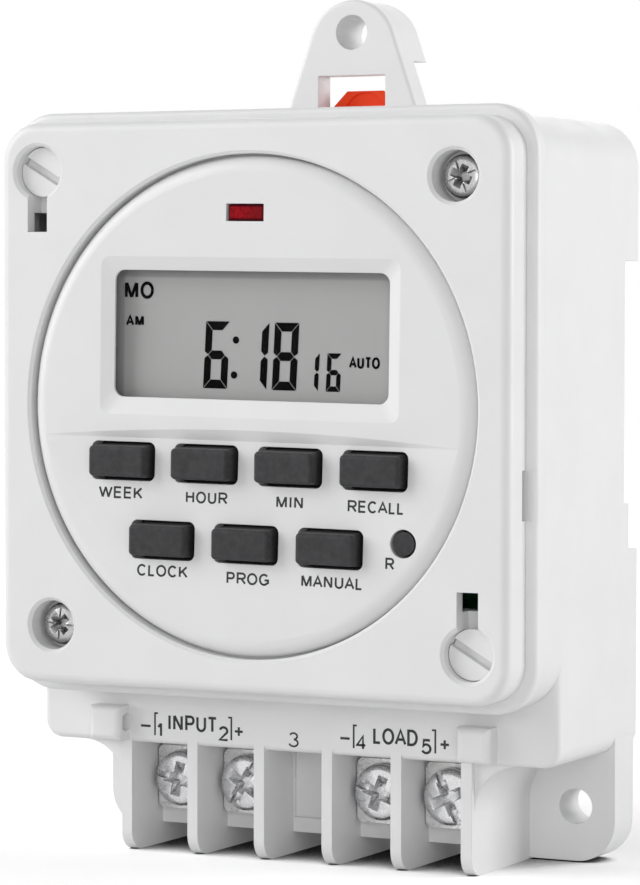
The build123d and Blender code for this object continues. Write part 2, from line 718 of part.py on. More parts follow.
def cover_screw():
    """A pan head cover screw, at the upper right."""
    at = COVER_SCREW_AT
    face = COVER_SCREW_RECESS - COVER_SCREW_HEAD
    head = rod(at, at, COVER_SCREW_HEAD_R, face, COVER_SCREW_RECESS)
    head = chamfered_front(head, COVER_SCREW_EDGE)
    shank_end = COVER_SCREW_RECESS + COVER_SCREW_LENGTH
    screw = head + rod(at, at, COVER_SCREW_R, COVER_SCREW_RECESS, shank_end)
    return screw - cross(at, at, face, CROSS_REACH * COVER_SCREW_HEAD_R, COVER_CROSS_TURN)


# Round module

def bevel():
    """The sloping frame round the display opening."""
    height = GLASS_H + BEVEL_OUT + BEVEL_LOW
    outer = RectangleRounded(GLASS_W + 2 * BEVEL_OUT, height, BEVEL_CORNER_R)
    outer = Pos(0, (BEVEL_OUT - BEVEL_LOW) / 2) * outer
    inner = RectangleRounded(GLASS_W, GLASS_H, GLASS_CORNER_R)
    front = Plane(origin=(0, -DEPTH, GLASS_Z), x_dir=(1, 0, 0), z_dir=(0, -1, 0))
    back = Plane(origin=(0, BEVEL_DEEP - DEPTH, GLASS_Z), x_dir=(1, 0, 0), z_dir=(0, -1, 0))
    return loft([front * outer, back * inner])


def key_hollow():
    """The shallow curved hollow round the keys, deepest just under its upper edge."""
    radius = HOLLOW_HALF ** 2 / (2 * HOLLOW_DEEP)
    inner = radius - HOLLOW_DEEP
    edge = HOLLOW_TOP - HOLLOW_SLOPE
    corners = [(inner, HOLLOW_TOP), (radius, HOLLOW_TOP), (radius + HOLLOW_DEEP, edge),
               (radius, HOLLOW_END), (inner, HOLLOW_END)]
    side_view = Plane(origin=(0, 0, 0), x_dir=(0, 1, 0), z_dir=(1, 0, 0))
    profile = side_view * make_face(Polyline(*corners, close=True))
    ring = revolve(profile, axis=Axis.Z, revolution_arc=HOLLOW_TURN)
    return Pos(0, -radius - DEPTH, 0) * Rot(0, 0, -HOLLOW_TURN / 2) * ring


def face_openings():
    """Openings in the face for the display, the light and the keys."""
    glass = Pos(0, GLASS_Z) * RectangleRounded(GLASS_W, GLASS_H, GLASS_CORNER_R)
    cuts = [bevel(), key_hollow(), slab(glass, 0, FACE_WALL)]
    lap = WINDOW_LAP + WINDOW_GAP
    seat = Pos(0, GLASS_Z) * Rectangle(GLASS_W + 2 * lap, GLASS_H + 2 * lap)
    cuts.append(slab(seat, FACE_WALL - WINDOW_THICK, FACE_WALL))
    lamp = Pos(LAMP_X, LAMP_Z) * Rectangle(LAMP_W + 2 * WINDOW_GAP, LAMP_H + 2 * WINDOW_GAP)
    cuts.append(slab(lamp, 0, FACE_WALL))
    opening = RectangleRounded(KEY_W + 2 * KEY_GAP, KEY_H + 2 * KEY_GAP, KEY_CORNER_R + KEY_GAP)
    for _, x, z in key_places():
        cuts.append(slab(Pos(x, z) * opening, 0, FACE_WALL))
    cuts.append(rod(RESET_X, RESET_Z, RESET_R + KEY_GAP, 0, FACE_WALL))
    return cuts


def face_disc():
    """The module's round face with its skirt, flange and screw bosses."""
    disc = rounded_front(rod(0, 0, MODULE_R, 0, MODULE_DEPTH), MODULE_EDGE_R)
    disc += rod(0, 0, FLANGE_R, COVER_FACE, FLANGE_BACK)
    disc -= rod(0, 0, SKIRT_INNER_R, FACE_WALL, MODULE_DEPTH)
    for x, z in MODULE_SCREW_PLACES:
        disc += rod(x, z, MODULE_BOSS_R, FACE_WALL, DISPLAY_BOARD_DEPTH)
    start = MODULE_BACK_END - MODULE_SCREW_HEAD - MODULE_SCREW_LENGTH - HEAD_GAP
    for x, z in MODULE_SCREW_PLACES:
        disc -= rod(x, z, MODULE_SCREW_R + SCREW_GAP, start, DISPLAY_BOARD_DEPTH)
    for cut in face_openings():
        disc -= cut
    return disc


def lcd_window():
    """The clear window, let into the back of the face."""
    pane = Rectangle(GLASS_W + 2 * WINDOW_LAP, GLASS_H + 2 * WINDOW_LAP)
    return slab(Pos(0, GLASS_Z) * pane, FACE_WALL - WINDOW_THICK, FACE_WALL)


def lcd_panel():
    """The liquid crystal display."""
    panel = Rectangle(GLASS_W + 2 * PANEL_LAP, GLASS_H + 2 * PANEL_LAP)
    return slab(Pos(0, GLASS_Z) * panel, PANEL_FRONT, PANEL_FRONT + PANEL_THICK)


def lcd_contact_strips():
    """Two elastomer strips from the display to its board."""
    width = GLASS_W - 2 * STRIP_INSET
    edge = GLASS_H / 2 + PANEL_LAP - STRIP_INSET
    near = PANEL_FRONT + PANEL_THICK
    upper = rect(-width / 2, width / 2, GLASS_Z + edge - STRIP_W, GLASS_Z + edge)
    lower = rect(-width / 2, width / 2, GLASS_Z - edge, GLASS_Z - edge + STRIP_W)
    return slab(upper, near, DISPLAY_BOARD_DEPTH) + slab(lower, near, DISPLAY_BOARD_DEPTH)


def led_window():
    """The red window, with a flange behind the face."""
    lens = Pos(LAMP_X, LAMP_Z) * Rectangle(LAMP_W, LAMP_H)
    flange = Pos(LAMP_X, LAMP_Z) * Rectangle(LAMP_W + 2 * LAMP_FLANGE, LAMP_H + 2 * LAMP_FLANGE)
    return slab(lens, LAMP_SINK, FACE_WALL) + slab(flange, FACE_WALL, FACE_WALL + LAMP_FLANGE_THICK)


def status_led():
    """The light behind the red window, on the display board."""
    led = Pos(LAMP_X, LAMP_Z) * Rectangle(LED_W, LED_H)
    return slab(led, DISPLAY_BOARD_DEPTH - LED_THICK, DISPLAY_BOARD_DEPTH)


def key(x, z):
    """A key: its cap, its flange behind the face and its stem."""
    outline = Pos(x, z) * RectangleRounded(KEY_W, KEY_H, KEY_CORNER_R)
    cap = rounded_front(slab(outline, -KEY_PROUD, FACE_WALL), KEY_EDGE_R)
    flange = Pos(x, z) * Rectangle(KEY_W + 2 * KEY_FLANGE, KEY_H + 2 * KEY_FLANGE)
    flange_back = FACE_WALL + KEY_FLANGE_THICK
    stem = Pos(x, z) * Rectangle(KEY_STEM_W, KEY_STEM_H)
    return cap + slab(flange, FACE_WALL, flange_back) + slab(stem, flange_back, KEY_REST_BACK)


def reset_key():
    """The round reset button, almost flush with the face."""
    flange_back = FACE_WALL + KEY_FLANGE_THICK
    button = rod(RESET_X, RESET_Z, RESET_R, RESET_SINK, flange_back)
    flange = (Pos(RESET_X, RESET_Z) * Circle(RESET_R + KEY_FLANGE)) & Circle(SKIRT_INNER_R - KEY_FLANGE)
    button += slab(flange, FACE_WALL, flange_back)
    return button + rod(RESET_X, RESET_Z, RESET_R, flange_back, DISPLAY_BOARD_DEPTH - RESET_TRAVEL)


def keypad_mat():
    """The rubber mat on the board, open round each stem."""
    outline = rect(-MAT_W / 2, MAT_W / 2, MAT_BOTTOM, MAT_TOP) & Circle(SKIRT_INNER_R - BOARD_EDGE_GAP)
    for _, x, z in key_places():
        outline -= Pos(x, z) * Rectangle(KEY_STEM_W + 2 * MAT_GAP, KEY_STEM_H + 2 * MAT_GAP)
    outline -= Pos(RESET_X, RESET_Z) * Circle(RESET_R + MAT_GAP)
    return slab(outline, DISPLAY_BOARD_DEPTH - MAT_THICK, DISPLAY_BOARD_DEPTH)


def display_board():
    """The round board behind the face."""
    board = Circle(SKIRT_INNER_R - BOARD_EDGE_GAP)
    for x, z in MODULE_SCREW_PLACES:
        board -= Pos(x, z) * Circle(MODULE_SCREW_R + HEAD_GAP)
    return slab(board, DISPLAY_BOARD_DEPTH, DISPLAY_BOARD_BACK)


def controller_chip():
    """The controller, on the back of the display board."""
    chip = Pos(CHIP_X, CHIP_Z) * Rectangle(CHIP_SIDE, CHIP_SIDE)
    return slab(chip, DISPLAY_BOARD_BACK, DISPLAY_BOARD_BACK + CHIP_THICK)


def quartz_crystal():
    """The round crystal, lying on the back of the display board."""
    middle = (CRYSTAL_X, DISPLAY_BOARD_BACK + CRYSTAL_R + SCREW_GAP - DEPTH, CRYSTAL_Z)
    return Pos(*middle) * Cylinder(CRYSTAL_R, CRYSTAL_LENGTH)


def backup_cell():
    """The button cell that keeps the clock going."""
    return rod(CELL_X, CELL_Z, CELL_R, DISPLAY_BOARD_BACK, DISPLAY_BOARD_BACK + CELL_THICK)


def board_link():
    """The strip that joins the display board to the power board."""
    return block(LINK_X - LINK_W / 2, LINK_X + LINK_W / 2, DISPLAY_BOARD_BACK, POWER_BOARD_DEPTH,
                 LINK_Z - LINK_H / 2, LINK_Z + LINK_H / 2)


def module_back():
    """The module's lid, with a ring that holds the display board."""
    ring_r = SKIRT_INNER_R - BOARD_EDGE_GAP
    lid = rod(0, 0, MODULE_R, MODULE_DEPTH, MODULE_BACK_END)
    lid += rod(0, 0, ring_r, DISPLAY_BOARD_BACK, MODULE_DEPTH)
    lid -= rod(0, 0, ring_r - SKIRT_WALL, DISPLAY_BOARD_BACK, MODULE_DEPTH)
    for x, z in MODULE_SCREW_PLACES:
        boss = (Pos(x, z) * Circle(MODULE_BOSS_R)) & Circle(ring_r)
        lid += slab(boss, DISPLAY_BOARD_BACK, MODULE_DEPTH)
    for x, z in MODULE_SCREW_PLACES:
        head_r = MODULE_SCREW_HEAD_R + HEAD_GAP
        lid -= rod(x, z, head_r, MODULE_BACK_END - MODULE_SCREW_HEAD, MODULE_BACK_END)
        lid -= rod(x, z, MODULE_SCREW_R + HEAD_GAP, DISPLAY_BOARD_BACK, MODULE_BACK_END)
    width = LINK_W + 2 * LINK_GAP
    height = LINK_H + 2 * LINK_GAP
    slot = Pos(LINK_X, LINK_Z) * Rectangle(width, height)
    return lid - slab(slot, MODULE_DEPTH, MODULE_BACK_END)


def module_screws():
    """Four screws that close the module from behind."""
    screws = []
    seat = MODULE_BACK_END - MODULE_SCREW_HEAD
    for x, z in MODULE_SCREW_PLACES:
        screw = rod(x, z, MODULE_SCREW_HEAD_R, seat, MODULE_BACK_END)
        screws.append(screw + rod(x, z, MODULE_SCREW_R, seat - MODULE_SCREW_LENGTH, seat))
    return screws


# Power side

def power_board():
    """The board behind the module, cut away round the screw pillars."""
    half = CAVITY_HALF - POWER_BOARD_GAP
    bottom = CAVITY_BOTTOM + POWER_BOARD_GAP
    top = CAVITY_TOP - POWER_BOARD_GAP
    inner_r = BOX_CORNER_R - BOX_WALL
    board = box_outline(half, top, bottom, inner_r, inner_r)
    side = PILLAR_SIDE - POWER_BOARD_GAP
    low = PILLAR_LOW - POWER_BOARD_GAP
    board -= rect(side, HALF, low, BOX_TOP)
    board -= rect(-HALF, -side, BOX_BOTTOM, -low)
    for x in (-BOARD_SCREW_X, BOARD_SCREW_X):
        for z in (-BOARD_SCREW_Z, BOARD_SCREW_Z):
            board -= Pos(x, z) * Circle(BOARD_SCREW_R + SCREW_GAP)
    return slab(board, POWER_BOARD_DEPTH, POWER_BOARD_BACK)


def board_screws():
    """Four screws that hold the power board on its bosses."""
    screws = []
    for x in (-BOARD_SCREW_X, BOARD_SCREW_X):
        for z in (-BOARD_SCREW_Z, BOARD_SCREW_Z):
            face = POWER_BOARD_DEPTH - BOARD_SCREW_HEAD
            screw = rod(x, z, BOARD_SCREW_HEAD_R, face, POWER_BOARD_DEPTH)
            screw += rod(x, z, BOARD_SCREW_R, POWER_BOARD_DEPTH, POWER_BOARD_DEPTH + BOARD_SCREW_LENGTH)
            screws.append(screw)
    return screws


def relay():
    """The relay, which fills the room below the rail channel."""
    outline = rect(RELAY_X - RELAY_W / 2, RELAY_X + RELAY_W / 2, RELAY_BOTTOM, RELAY_TOP)
    outline = fillet(outline.vertices(), RELAY_CORNER_R)
    return slab(outline, POWER_BOARD_BACK, POCKET_DEPTH - RELAY_REAR_GAP)


def mains_capacitor():
    """The film capacitor, in the upper left corner."""
    left = FILM_CAP_IN - CAVITY_HALF
    outline = rect(left, left + FILM_CAP_W, CAP_Z - FILM_CAP_H / 2, CAP_Z + FILM_CAP_H / 2)
    return slab(outline, POWER_BOARD_BACK, POCKET_DEPTH - FILM_CAP_REAR_GAP)


def smoothing_capacitor():
    """The round capacitor, beside the clip's guide."""
    x = GUIDE_SIDE + ROUND_CAP_IN + ROUND_CAP_R
    return rod(x, CAP_Z, ROUND_CAP_R, POWER_BOARD_BACK, POCKET_DEPTH - ROUND_CAP_REAR_GAP)


def varistor():
    """The varistor disc, standing on its leads just off the board."""
    middle = Pos(POWER_BOARD_BACK + VARISTOR_LIFT + VARISTOR_R, VARISTOR_Z)
    half = VARISTOR_THICK / 2
    disc = bar(middle * Circle(VARISTOR_R), VARISTOR_X - half, VARISTOR_X + half)
    for z in (VARISTOR_Z - VARISTOR_R / 2, VARISTOR_Z + VARISTOR_R / 2):
        disc += rod(VARISTOR_X, z, VARISTOR_LIFT, POWER_BOARD_BACK, POWER_BOARD_BACK + VARISTOR_R)
    return disc


def bridge_rectifier():
    """The rectifier bridge."""
    outline = Pos(BRIDGE_X, BRIDGE_Z) * Rectangle(BRIDGE_W, BRIDGE_H)
    return slab(outline, POWER_BOARD_BACK, POWER_BOARD_BACK + BRIDGE_THICK)


# Terminals

def terminal_plate(way):
    """A tapped plate, bent at the top to meet the power board."""
    x = way_x(way)
    profile = rect(PLATE_FRONT, PLATE_BACK, PLATE_BOTTOM, LEG_TOP)
    profile += rect(POWER_BOARD_BACK, PLATE_BACK, LEG_BOTTOM, LEG_TOP)
    plate = bar(profile, x - PLATE_W / 2, x + PLATE_W / 2)
    return plate - rod(x, CLAMP_Z, TERMINAL_SCREW_R + SCREW_GAP, PLATE_FRONT, PLATE_BACK)


def clamp_washer(way):
    """The square washer that presses a wire on its plate."""
    x = way_x(way)
    outline = Pos(x, CLAMP_Z) * RectangleRounded(CLAMP_W, CLAMP_H, CLAMP_CORNER_R)
    outline -= Pos(x, CLAMP_Z) * Circle(TERMINAL_SCREW_R + SCREW_GAP)
    return slab(outline, CLAMP_FRONT, PLATE_FRONT)


def terminal_screw(way):
    """A pan head terminal screw with a cross recess."""
    x = way_x(way)
    face = CLAMP_FRONT - TERMINAL_HEAD
    head = rod(x, CLAMP_Z, TERMINAL_HEAD_R, face, CLAMP_FRONT)
    head = chamfered_front(head, TERMINAL_HEAD_EDGE)
    screw = head + rod(x, CLAMP_Z, TERMINAL_SCREW_R, CLAMP_FRONT, TERMINAL_SCREW_END)
    return screw - cross(x, CLAMP_Z, face, CROSS_REACH * TERMINAL_HEAD_R, TERMINAL_CROSS_TURN)


# Rail clip

def rail_clip():
    """The sliding clip with its tab, nose and spring window."""
    half = CLIP_W / 2
    shoulder = CLIP_TOP - (half - CLIP_TIP_HALF)
    corners = [(-half, CLIP_BOTTOM), (half, CLIP_BOTTOM), (half, shoulder),
               (CLIP_TIP_HALF, CLIP_TOP), (-CLIP_TIP_HALF, CLIP_TOP), (-half, shoulder)]
    outline = make_face(Polyline(*corners, close=True))
    window_top = SPRING_TOP + SPRING_STOP
    window_bottom = SPRING_TOP - SPRING_LENGTH
    outline -= rect(-SPRING_WINDOW_W / 2, SPRING_WINDOW_W / 2, window_bottom, window_top)
    clip = slab(outline, CLIP_FRONT, CLIP_BACK)
    nose_bottom = CHANNEL_TOP - CLIP_GAP - HOOK_LAP
    nose_top = CHANNEL_TOP + CLIP_NOSE_TALL - CLIP_NOSE_GAP
    catch = rect(CLIP_BACK, BACK - CLIP_GAP, CHANNEL_TOP - CLIP_GAP, nose_top)
    lip_points = [(HOOK_DEPTH, CHANNEL_TOP - CLIP_GAP), (HOOK_DEPTH, nose_bottom),
                  (BACK - CLIP_GAP, CHANNEL_TOP - CLIP_GAP)]
    catch += make_face(Polyline(*lip_points, close=True))
    clip += bar(catch, -CLIP_NOSE_W / 2, CLIP_NOSE_W / 2)
    dish = rod(0, CLIP_DISH_Z, CLIP_DISH_R, CLIP_FRONT, CLIP_FRONT + CLIP_DISH_DEEP)
    return clip - dish


def coil_point(turns, pitch):
    """A point on the spring's line after some turns, and the way the wire runs there."""
    angle = 2 * math.pi * turns
    point = Vector(SPRING_R * math.cos(angle), SPRING_R * math.sin(angle), pitch * turns)
    way = Vector(-math.sin(angle), math.cos(angle), pitch / (2 * math.pi * SPRING_R))
    return point, way.normalized()


def biarc(start, start_way, end, end_way):
    """Two arcs that join two points and run into each other without a kink."""
    span = end - start
    turned = 1 - start_way.dot(end_way)
    lean = span.dot(start_way + end_way)
    reach = (math.sqrt(lean ** 2 + 2 * turned * span.dot(span)) - lean) / (2 * turned)
    first = start + start_way * reach
    last = end - end_way * reach
    middle = (first + last) * 0.5
    return [TangentArc(start, middle, tangent=start_way), TangentArc(middle, end, tangent=last - first)]


def least_gap(line, turns, wire_r):
    """Least gap between a coil's turns, measured on points along its line."""
    per_turn = 24
    steps = per_turn * turns
    points = [line.position_at(i / steps) for i in range(steps + 1)]
    spans = [(a - b).length for i, a in enumerate(points) for b in points[i + per_turn // 2:]]
    return min(spans) - 2 * wire_r


def rail_clip_spring():
    """The coil spring between the clip's window and the stop on the base."""
    depth = CHANNEL_FLOOR - SPRING_SINK + SPRING_GAP + SPRING_R + SPRING_WIRE_R
    bottom = SPRING_TOP - SPRING_LENGTH
    pitch = (SPRING_LENGTH - 2 * SPRING_WIRE_R) / SPRING_TURNS
    arcs = []
    for half in range(2 * SPRING_TURNS):
        arcs += biarc(*coil_point(half / 2, pitch), *coil_point((half + 1) / 2, pitch))
    line = Wire([arc.edge() for arc in arcs])
    print(f"rail_clip_spring: least gap to itself {least_gap(line, SPRING_TURNS, SPRING_WIRE_R):.2f} mm")
    start, way = coil_point(0, pitch)
    wire = sweep(Plane(origin=start, z_dir=way) * Circle(SPRING_WIRE_R), line)
    return Pos(0, depth - DEPTH, bottom + SPRING_WIRE_R) * wire


def save(node, solids):
    """Writes one node, from one solid or from a list of them."""
    group = solids if isinstance(solids, list) else [solids]
    export_step(Compound(children=[s for shape in group for s in shape.solids()]), f"parts/{node}.step")


MODULE_PIECES = {
    "face_disc": face_disc, "lcd_window": lcd_window, "lcd_panel": lcd_panel,
    "lcd_contact_strips": lcd_contact_strips, "led_window": led_window, "status_led": status_led,
    "reset_key": reset_key, "keypad_mat": keypad_mat, "display_board": display_board,
    "controller_chip": controller_chip, "quartz_crystal": quartz_crystal,
    "backup_cell": backup_cell, "board_link": board_link, "module_back": module_back,
}

FIXED_PIECES = {
    "rear_base": rear_base, "front_cover": front_cover, "power_board": power_board,
    "board_screws": board_screws, "relay": relay, "mains_capacitor": mains_capacitor,
    "smoothing_capacitor": smoothing_capacitor, "varistor": varistor,
    "bridge_rectifier": bridge_rectifier, "rail_clip": rail_clip,
    "rail_clip_spring": rail_clip_spring,
}

for node, make in FIXED_PIECES.items():
    save(node, make())

for node, make in MODULE_PIECES.items():
    save(node, seated(make()))

for name, x, z in key_places():
    save(f"key_{name}", seated(key(x, z)))

save("module_screws", [seated(screw) for screw in module_screws()])
save("cover_screws", [cover_screw(), opposite(cover_screw())])
save("latch_post_upper", latch_post())
save("latch_post_lower", opposite(latch_post()))

for way in range(1, WAYS + 1):
    if way != EMPTY_WAY:
        save(f"terminal_plate_{way}", terminal_plate(way))
        save(f"clamp_washer_{way}", clamp_washer(way))
        save(f"terminal_screw_{way}", terminal_screw(way))
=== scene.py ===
import logging
import math
from dataclasses import dataclass
from enum import Enum
from functools import cache
from typing import Optional, Sequence

import bmesh
import bpy
from bpy.types import Material, Mesh, Node, NodeSocket, NodeTree, Object
from mathutils import Matrix, Vector


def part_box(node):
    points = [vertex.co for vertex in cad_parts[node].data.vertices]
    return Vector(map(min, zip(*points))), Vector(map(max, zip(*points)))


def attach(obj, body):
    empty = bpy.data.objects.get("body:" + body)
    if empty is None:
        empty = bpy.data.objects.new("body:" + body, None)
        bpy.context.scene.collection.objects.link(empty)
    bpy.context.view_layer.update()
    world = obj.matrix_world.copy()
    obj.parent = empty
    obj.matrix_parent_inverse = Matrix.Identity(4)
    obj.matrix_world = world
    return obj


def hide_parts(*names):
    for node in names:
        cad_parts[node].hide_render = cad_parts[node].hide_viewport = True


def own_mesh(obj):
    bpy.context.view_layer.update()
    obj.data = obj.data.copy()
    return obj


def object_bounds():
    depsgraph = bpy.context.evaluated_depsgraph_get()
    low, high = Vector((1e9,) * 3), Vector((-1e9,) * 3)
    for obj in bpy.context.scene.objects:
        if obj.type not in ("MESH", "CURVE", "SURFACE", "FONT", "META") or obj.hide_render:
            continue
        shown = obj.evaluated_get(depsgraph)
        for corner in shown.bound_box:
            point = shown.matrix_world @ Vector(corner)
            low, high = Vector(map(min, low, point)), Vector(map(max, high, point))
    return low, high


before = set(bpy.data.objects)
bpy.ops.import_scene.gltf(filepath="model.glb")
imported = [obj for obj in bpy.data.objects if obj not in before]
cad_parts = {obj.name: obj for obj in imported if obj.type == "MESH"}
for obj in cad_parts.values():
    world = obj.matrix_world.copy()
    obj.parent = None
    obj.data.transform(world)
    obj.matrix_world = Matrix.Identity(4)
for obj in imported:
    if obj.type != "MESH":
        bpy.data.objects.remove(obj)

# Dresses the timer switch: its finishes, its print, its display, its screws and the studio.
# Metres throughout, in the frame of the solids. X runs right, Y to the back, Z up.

LOG = logging.getLogger("timer_switch")
CAD_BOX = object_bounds()
MM = 0.001
FACE_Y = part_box("front_cover")[0][1]        # the cover's front face
MODULE_TURN = math.radians(0.75)            # the round module sits a little turned
PRINT_THICK = 0.02 * MM
SMOOTH_TO = math.radians(42)                # edges sharper than this stay sharp
EASED_FROM = math.radians(28)               # edges of a turned part sharper than this are broken
TURNED_SIDES = 64                           # of a round part made here
BAR_NARROWS = 0.6                           # share of a bar's loss in length that its width loses too
ARC_STEP = 15                               # degrees from point to point of an arc
LAYER = 0.04                                # share by which crossing strokes differ in thickness
SHARPEST = 0.6                              # least cosine by which the corner of a stroke is drawn out
PRINT_REACH = (1.0 * MM, 4.0 * MM)          # how far ahead of its place print looks, and how deep
HOME = Matrix.Identity(4)                   # of a mesh that is made where it belongs
Colour = tuple[float, float, float]
Outline = Sequence[tuple[float, float]]
Ring = Sequence[Sequence[float]]


class Slot(Enum):
    """The record's material slots."""
    WHITE = "white_plastic"
    RUBBER = "black_rubber"
    CLEAR = "clear_plastic"
    LCD = "lcd_glass"
    RED = "red_plastic"
    ORANGE = "orange_plastic"
    BOARD = "green_board"
    BLACK = "black_plastic"
    BLUE = "blue_plastic"
    YELLOW = "yellow_plastic"
    PINK = "pink_rubber"
    PLATED = "plated_steel"
    SPRING = "spring_steel"
    BRASS = "brass_plate"
    CAN = "can_steel"


class Drive(Enum):
    """What a screwdriver finds in a screw's head."""
    SCORED_CROSS = "cross with scored diagonals"
    CROSS_AND_SLOT = "cross and slot"


# Finishes

class Nodes:
    """The nodes of a material or of the world."""

    def __init__(self, tree: NodeTree) -> None:
        """Works on one tree of nodes."""
        self.tree = tree

    def node(self, kind: str, **settings: object) -> Node:
        """Adds a node.

        Args:
            kind: The node's type.
            settings: Properties to set on it.

        Returns:
            The new node.
        """
        made = self.tree.nodes.new(kind)
        for key, value in settings.items():
            setattr(made, key, value)
        return made

    def feed(self, node: Node, **values: object) -> Node:
        """Sets or links a node's inputs.

        Args:
            node: The node.
            values: A number, colour or socket for each input, named with underscores for spaces
                or numbered after an underscore.

        Returns:
            The same node.
        """
        for key, value in values.items():
            name = key.replace("_", " ")
            socket = node.inputs[int(name[1:])] if name[1:].isdigit() else node.inputs[name]
            if isinstance(value, NodeSocket):
                self.tree.links.new(value, socket)
            else:
                socket.default_value = (*value, 1.0) if socket.type == "RGBA" else value
        return node

    def maths(self, operation: str, first: object, second: object = 0.0) -> NodeSocket:
        """One step of arithmetic on two values."""
        return self.feed(self.node("ShaderNodeMath", operation=operation), _0=first, _1=second).outputs[0]

    def blended(self, share: NodeSocket, first: NodeSocket, second: NodeSocket) -> NodeSocket:
        """Mixes two shaders, with the share of the second."""
        return self.feed(self.node("ShaderNodeMixShader"), _0=share, _1=first, _2=second).outputs[0]

    def to_the_eye(self) -> NodeSocket:
        """Tells what the eye, metal and glass see from what lights the object.

        Returns:
            1 for camera, glossy and transmission rays, else 0.
        """
        ray = self.node("ShaderNodeLightPath").outputs
        seen = self.maths("MAXIMUM", ray["Is Camera Ray"], ray["Is Glossy Ray"])
        return self.maths("MAXIMUM", seen, ray["Is Transmission Ray"])


class Bench(Nodes):
    """A new material, with short calls for what the finishes share."""

    def __init__(self, name: str) -> None:
        """Starts a material.

        Args:
            name: The material's name.
        """
        self.material: Material = bpy.data.materials.new(name)
        self.material.use_nodes = True
        super().__init__(self.material.node_tree)
        self.shader: Node = self.tree.nodes["Principled BSDF"]
        self.place: NodeSocket = self.node("ShaderNodeTexCoord").outputs["Object"]

    def stretched(self, scale: Colour, turn: Colour = (0.0, 0.0, 0.0)) -> NodeSocket:
        """The place on the surface, scaled along each axis after a turn."""
        mapping = self.feed(self.node("ShaderNodeMapping"), Vector=self.place, Scale=scale, Rotation=turn)
        return mapping.outputs["Vector"]

    def split(self, place: NodeSocket) -> Sequence[NodeSocket]:
        """The three coordinates of a place."""
        return self.feed(self.node("ShaderNodeSeparateXYZ"), Vector=place).outputs

    def noise(self, size: float, detail: float = 2.0, where: Optional[NodeSocket] = None) -> NodeSocket:
        """Cloudy values about a half, in clouds of one size with finer detail over them."""
        return self.feed(self.node("ShaderNodeTexNoise"), Vector=where or self.place, Scale=1.0 / size,
                         Detail=detail).outputs[0]

    def between(self, value: NodeSocket, low: float, high: float,
                start: float = 0.3, end: float = 0.7) -> NodeSocket:
        """Maps a value to the range from low to high as it goes from start to end, eased at both."""
        return self.feed(self.node("ShaderNodeMapRange", interpolation_type="SMOOTHSTEP"), Value=value,
                         From_Min=start, From_Max=end, To_Min=low, To_Max=high).outputs["Result"]

    def mixed(self, factor: NodeSocket, first: object, second: object) -> NodeSocket:
        """Mixes two colours, with the factor as the share of the second."""
        node = self.node("ShaderNodeMix", data_type="RGBA")
        return self.feed(node, _0=factor, _6=first, _7=second).outputs[2]

    def varied(self, low: float, high: float, size: float, detail: float = 2.0) -> NodeSocket:
        """A number that drifts over the surface between two values, in clouds of one size."""
        return self.between(self.noise(size, detail), low, high)

    def drifting(self, level: float, drift: float, size: float) -> NodeSocket:
        """A number that drifts over the surface either way of a level, in clouds of one size."""
        return self.varied(level - drift, level + drift, size)

    def clouded(self, colour: Colour, low: float, high: float, size: float, detail: float) -> NodeSocket:
        """A colour that drifts over the surface between two shares of itself."""
        return self.mixed(self.varied(0, 1, size, detail), tint(colour, low), tint(colour, high))

    def bump(self, height: NodeSocket, deep: float, under: Optional[NodeSocket] = None) -> NodeSocket:
        """Turns a height into a normal.

        Args:
            height: The height, from 0 to 1.
            deep: What a height of 1 stands for, in metres.
            under: A normal to lay it over.

        Returns:
            The new normal.
        """
        node = self.feed(self.node("ShaderNodeBump"), Height=height, Distance=deep, Strength=1.0)
        if under is not None:
            self.feed(node, Normal=under)
        return node.outputs["Normal"]

    def soft_edges(self, radius: float) -> NodeSocket:
        """A normal that rounds sharp edges by a small radius."""
        return self.feed(self.node("ShaderNodeBevel", samples=4), Radius=radius).outputs["Normal"]

    def openness(self, reach: float) -> NodeSocket:
        """How open the surface is, from 0 in a crevice of that reach to 1 on a plain face."""
        return self.feed(self.node("ShaderNodeAmbientOcclusion", samples=8), Distance=reach).outputs["AO"]

    def sharpness(self, radius: float) -> NodeSocket:
        """How near an edge the surface is, from 0 on a plain face to about 0.3 on a square edge.

        Args:
            radius: How far from an edge it is felt.

        Returns:
            The sharpness.
        """
        turn = self.node("ShaderNodeVectorMath", operation="DOT_PRODUCT")
        self.feed(turn, _0=self.soft_edges(radius), _1=self.node("ShaderNodeNewGeometry").outputs["Normal"])
        return self.maths("SUBTRACT", 1.0, turn.outputs["Value"])

    def done(self, **values: object) -> Material:
        """Feeds the shader and hands over the material."""
        self.feed(self.shader, **values)
        return self.material


def tint(colour: Colour, share: float) -> Colour:
    """A colour made lighter or darker by a share."""
    return tuple(min(1.0, channel * share) for channel in colour)


@dataclass(frozen=True)
class MouldedPlastic:
    """Spark-finished moulded plastic with faint flow marks."""
    name: str
    colour: Colour
    slot: Slot
    roughness: float = 0.42
    mottle: float = 0.025       # share by which the colour varies
    cloud: float = 9 * MM       # size of that variation
    grain: float = 0.22 * MM    # size of the mould's texture
    grain_deep: float = 0.0025 * MM
    edge: float = 0.12 * MM     # how far sharp edges are rounded
    specular: float = 0.45
    drift: float = 0.06         # how far its roughness varies

    def material(self) -> Material:
        """Builds the material.

        Returns:
            The plastic.
        """
        bench = Bench(self.name)
        grain = bench.noise(self.grain, 1.0)
        return bench.done(
            Base_Color=bench.clouded(self.colour, 1 - self.mottle, 1.0, self.cloud, 3.0),
            Roughness=bench.drifting(self.roughness, self.drift, self.cloud / 3),
            Normal=bench.bump(grain, self.grain_deep, bench.soft_edges(self.edge)),
            Specular_IOR_Level=self.specular)


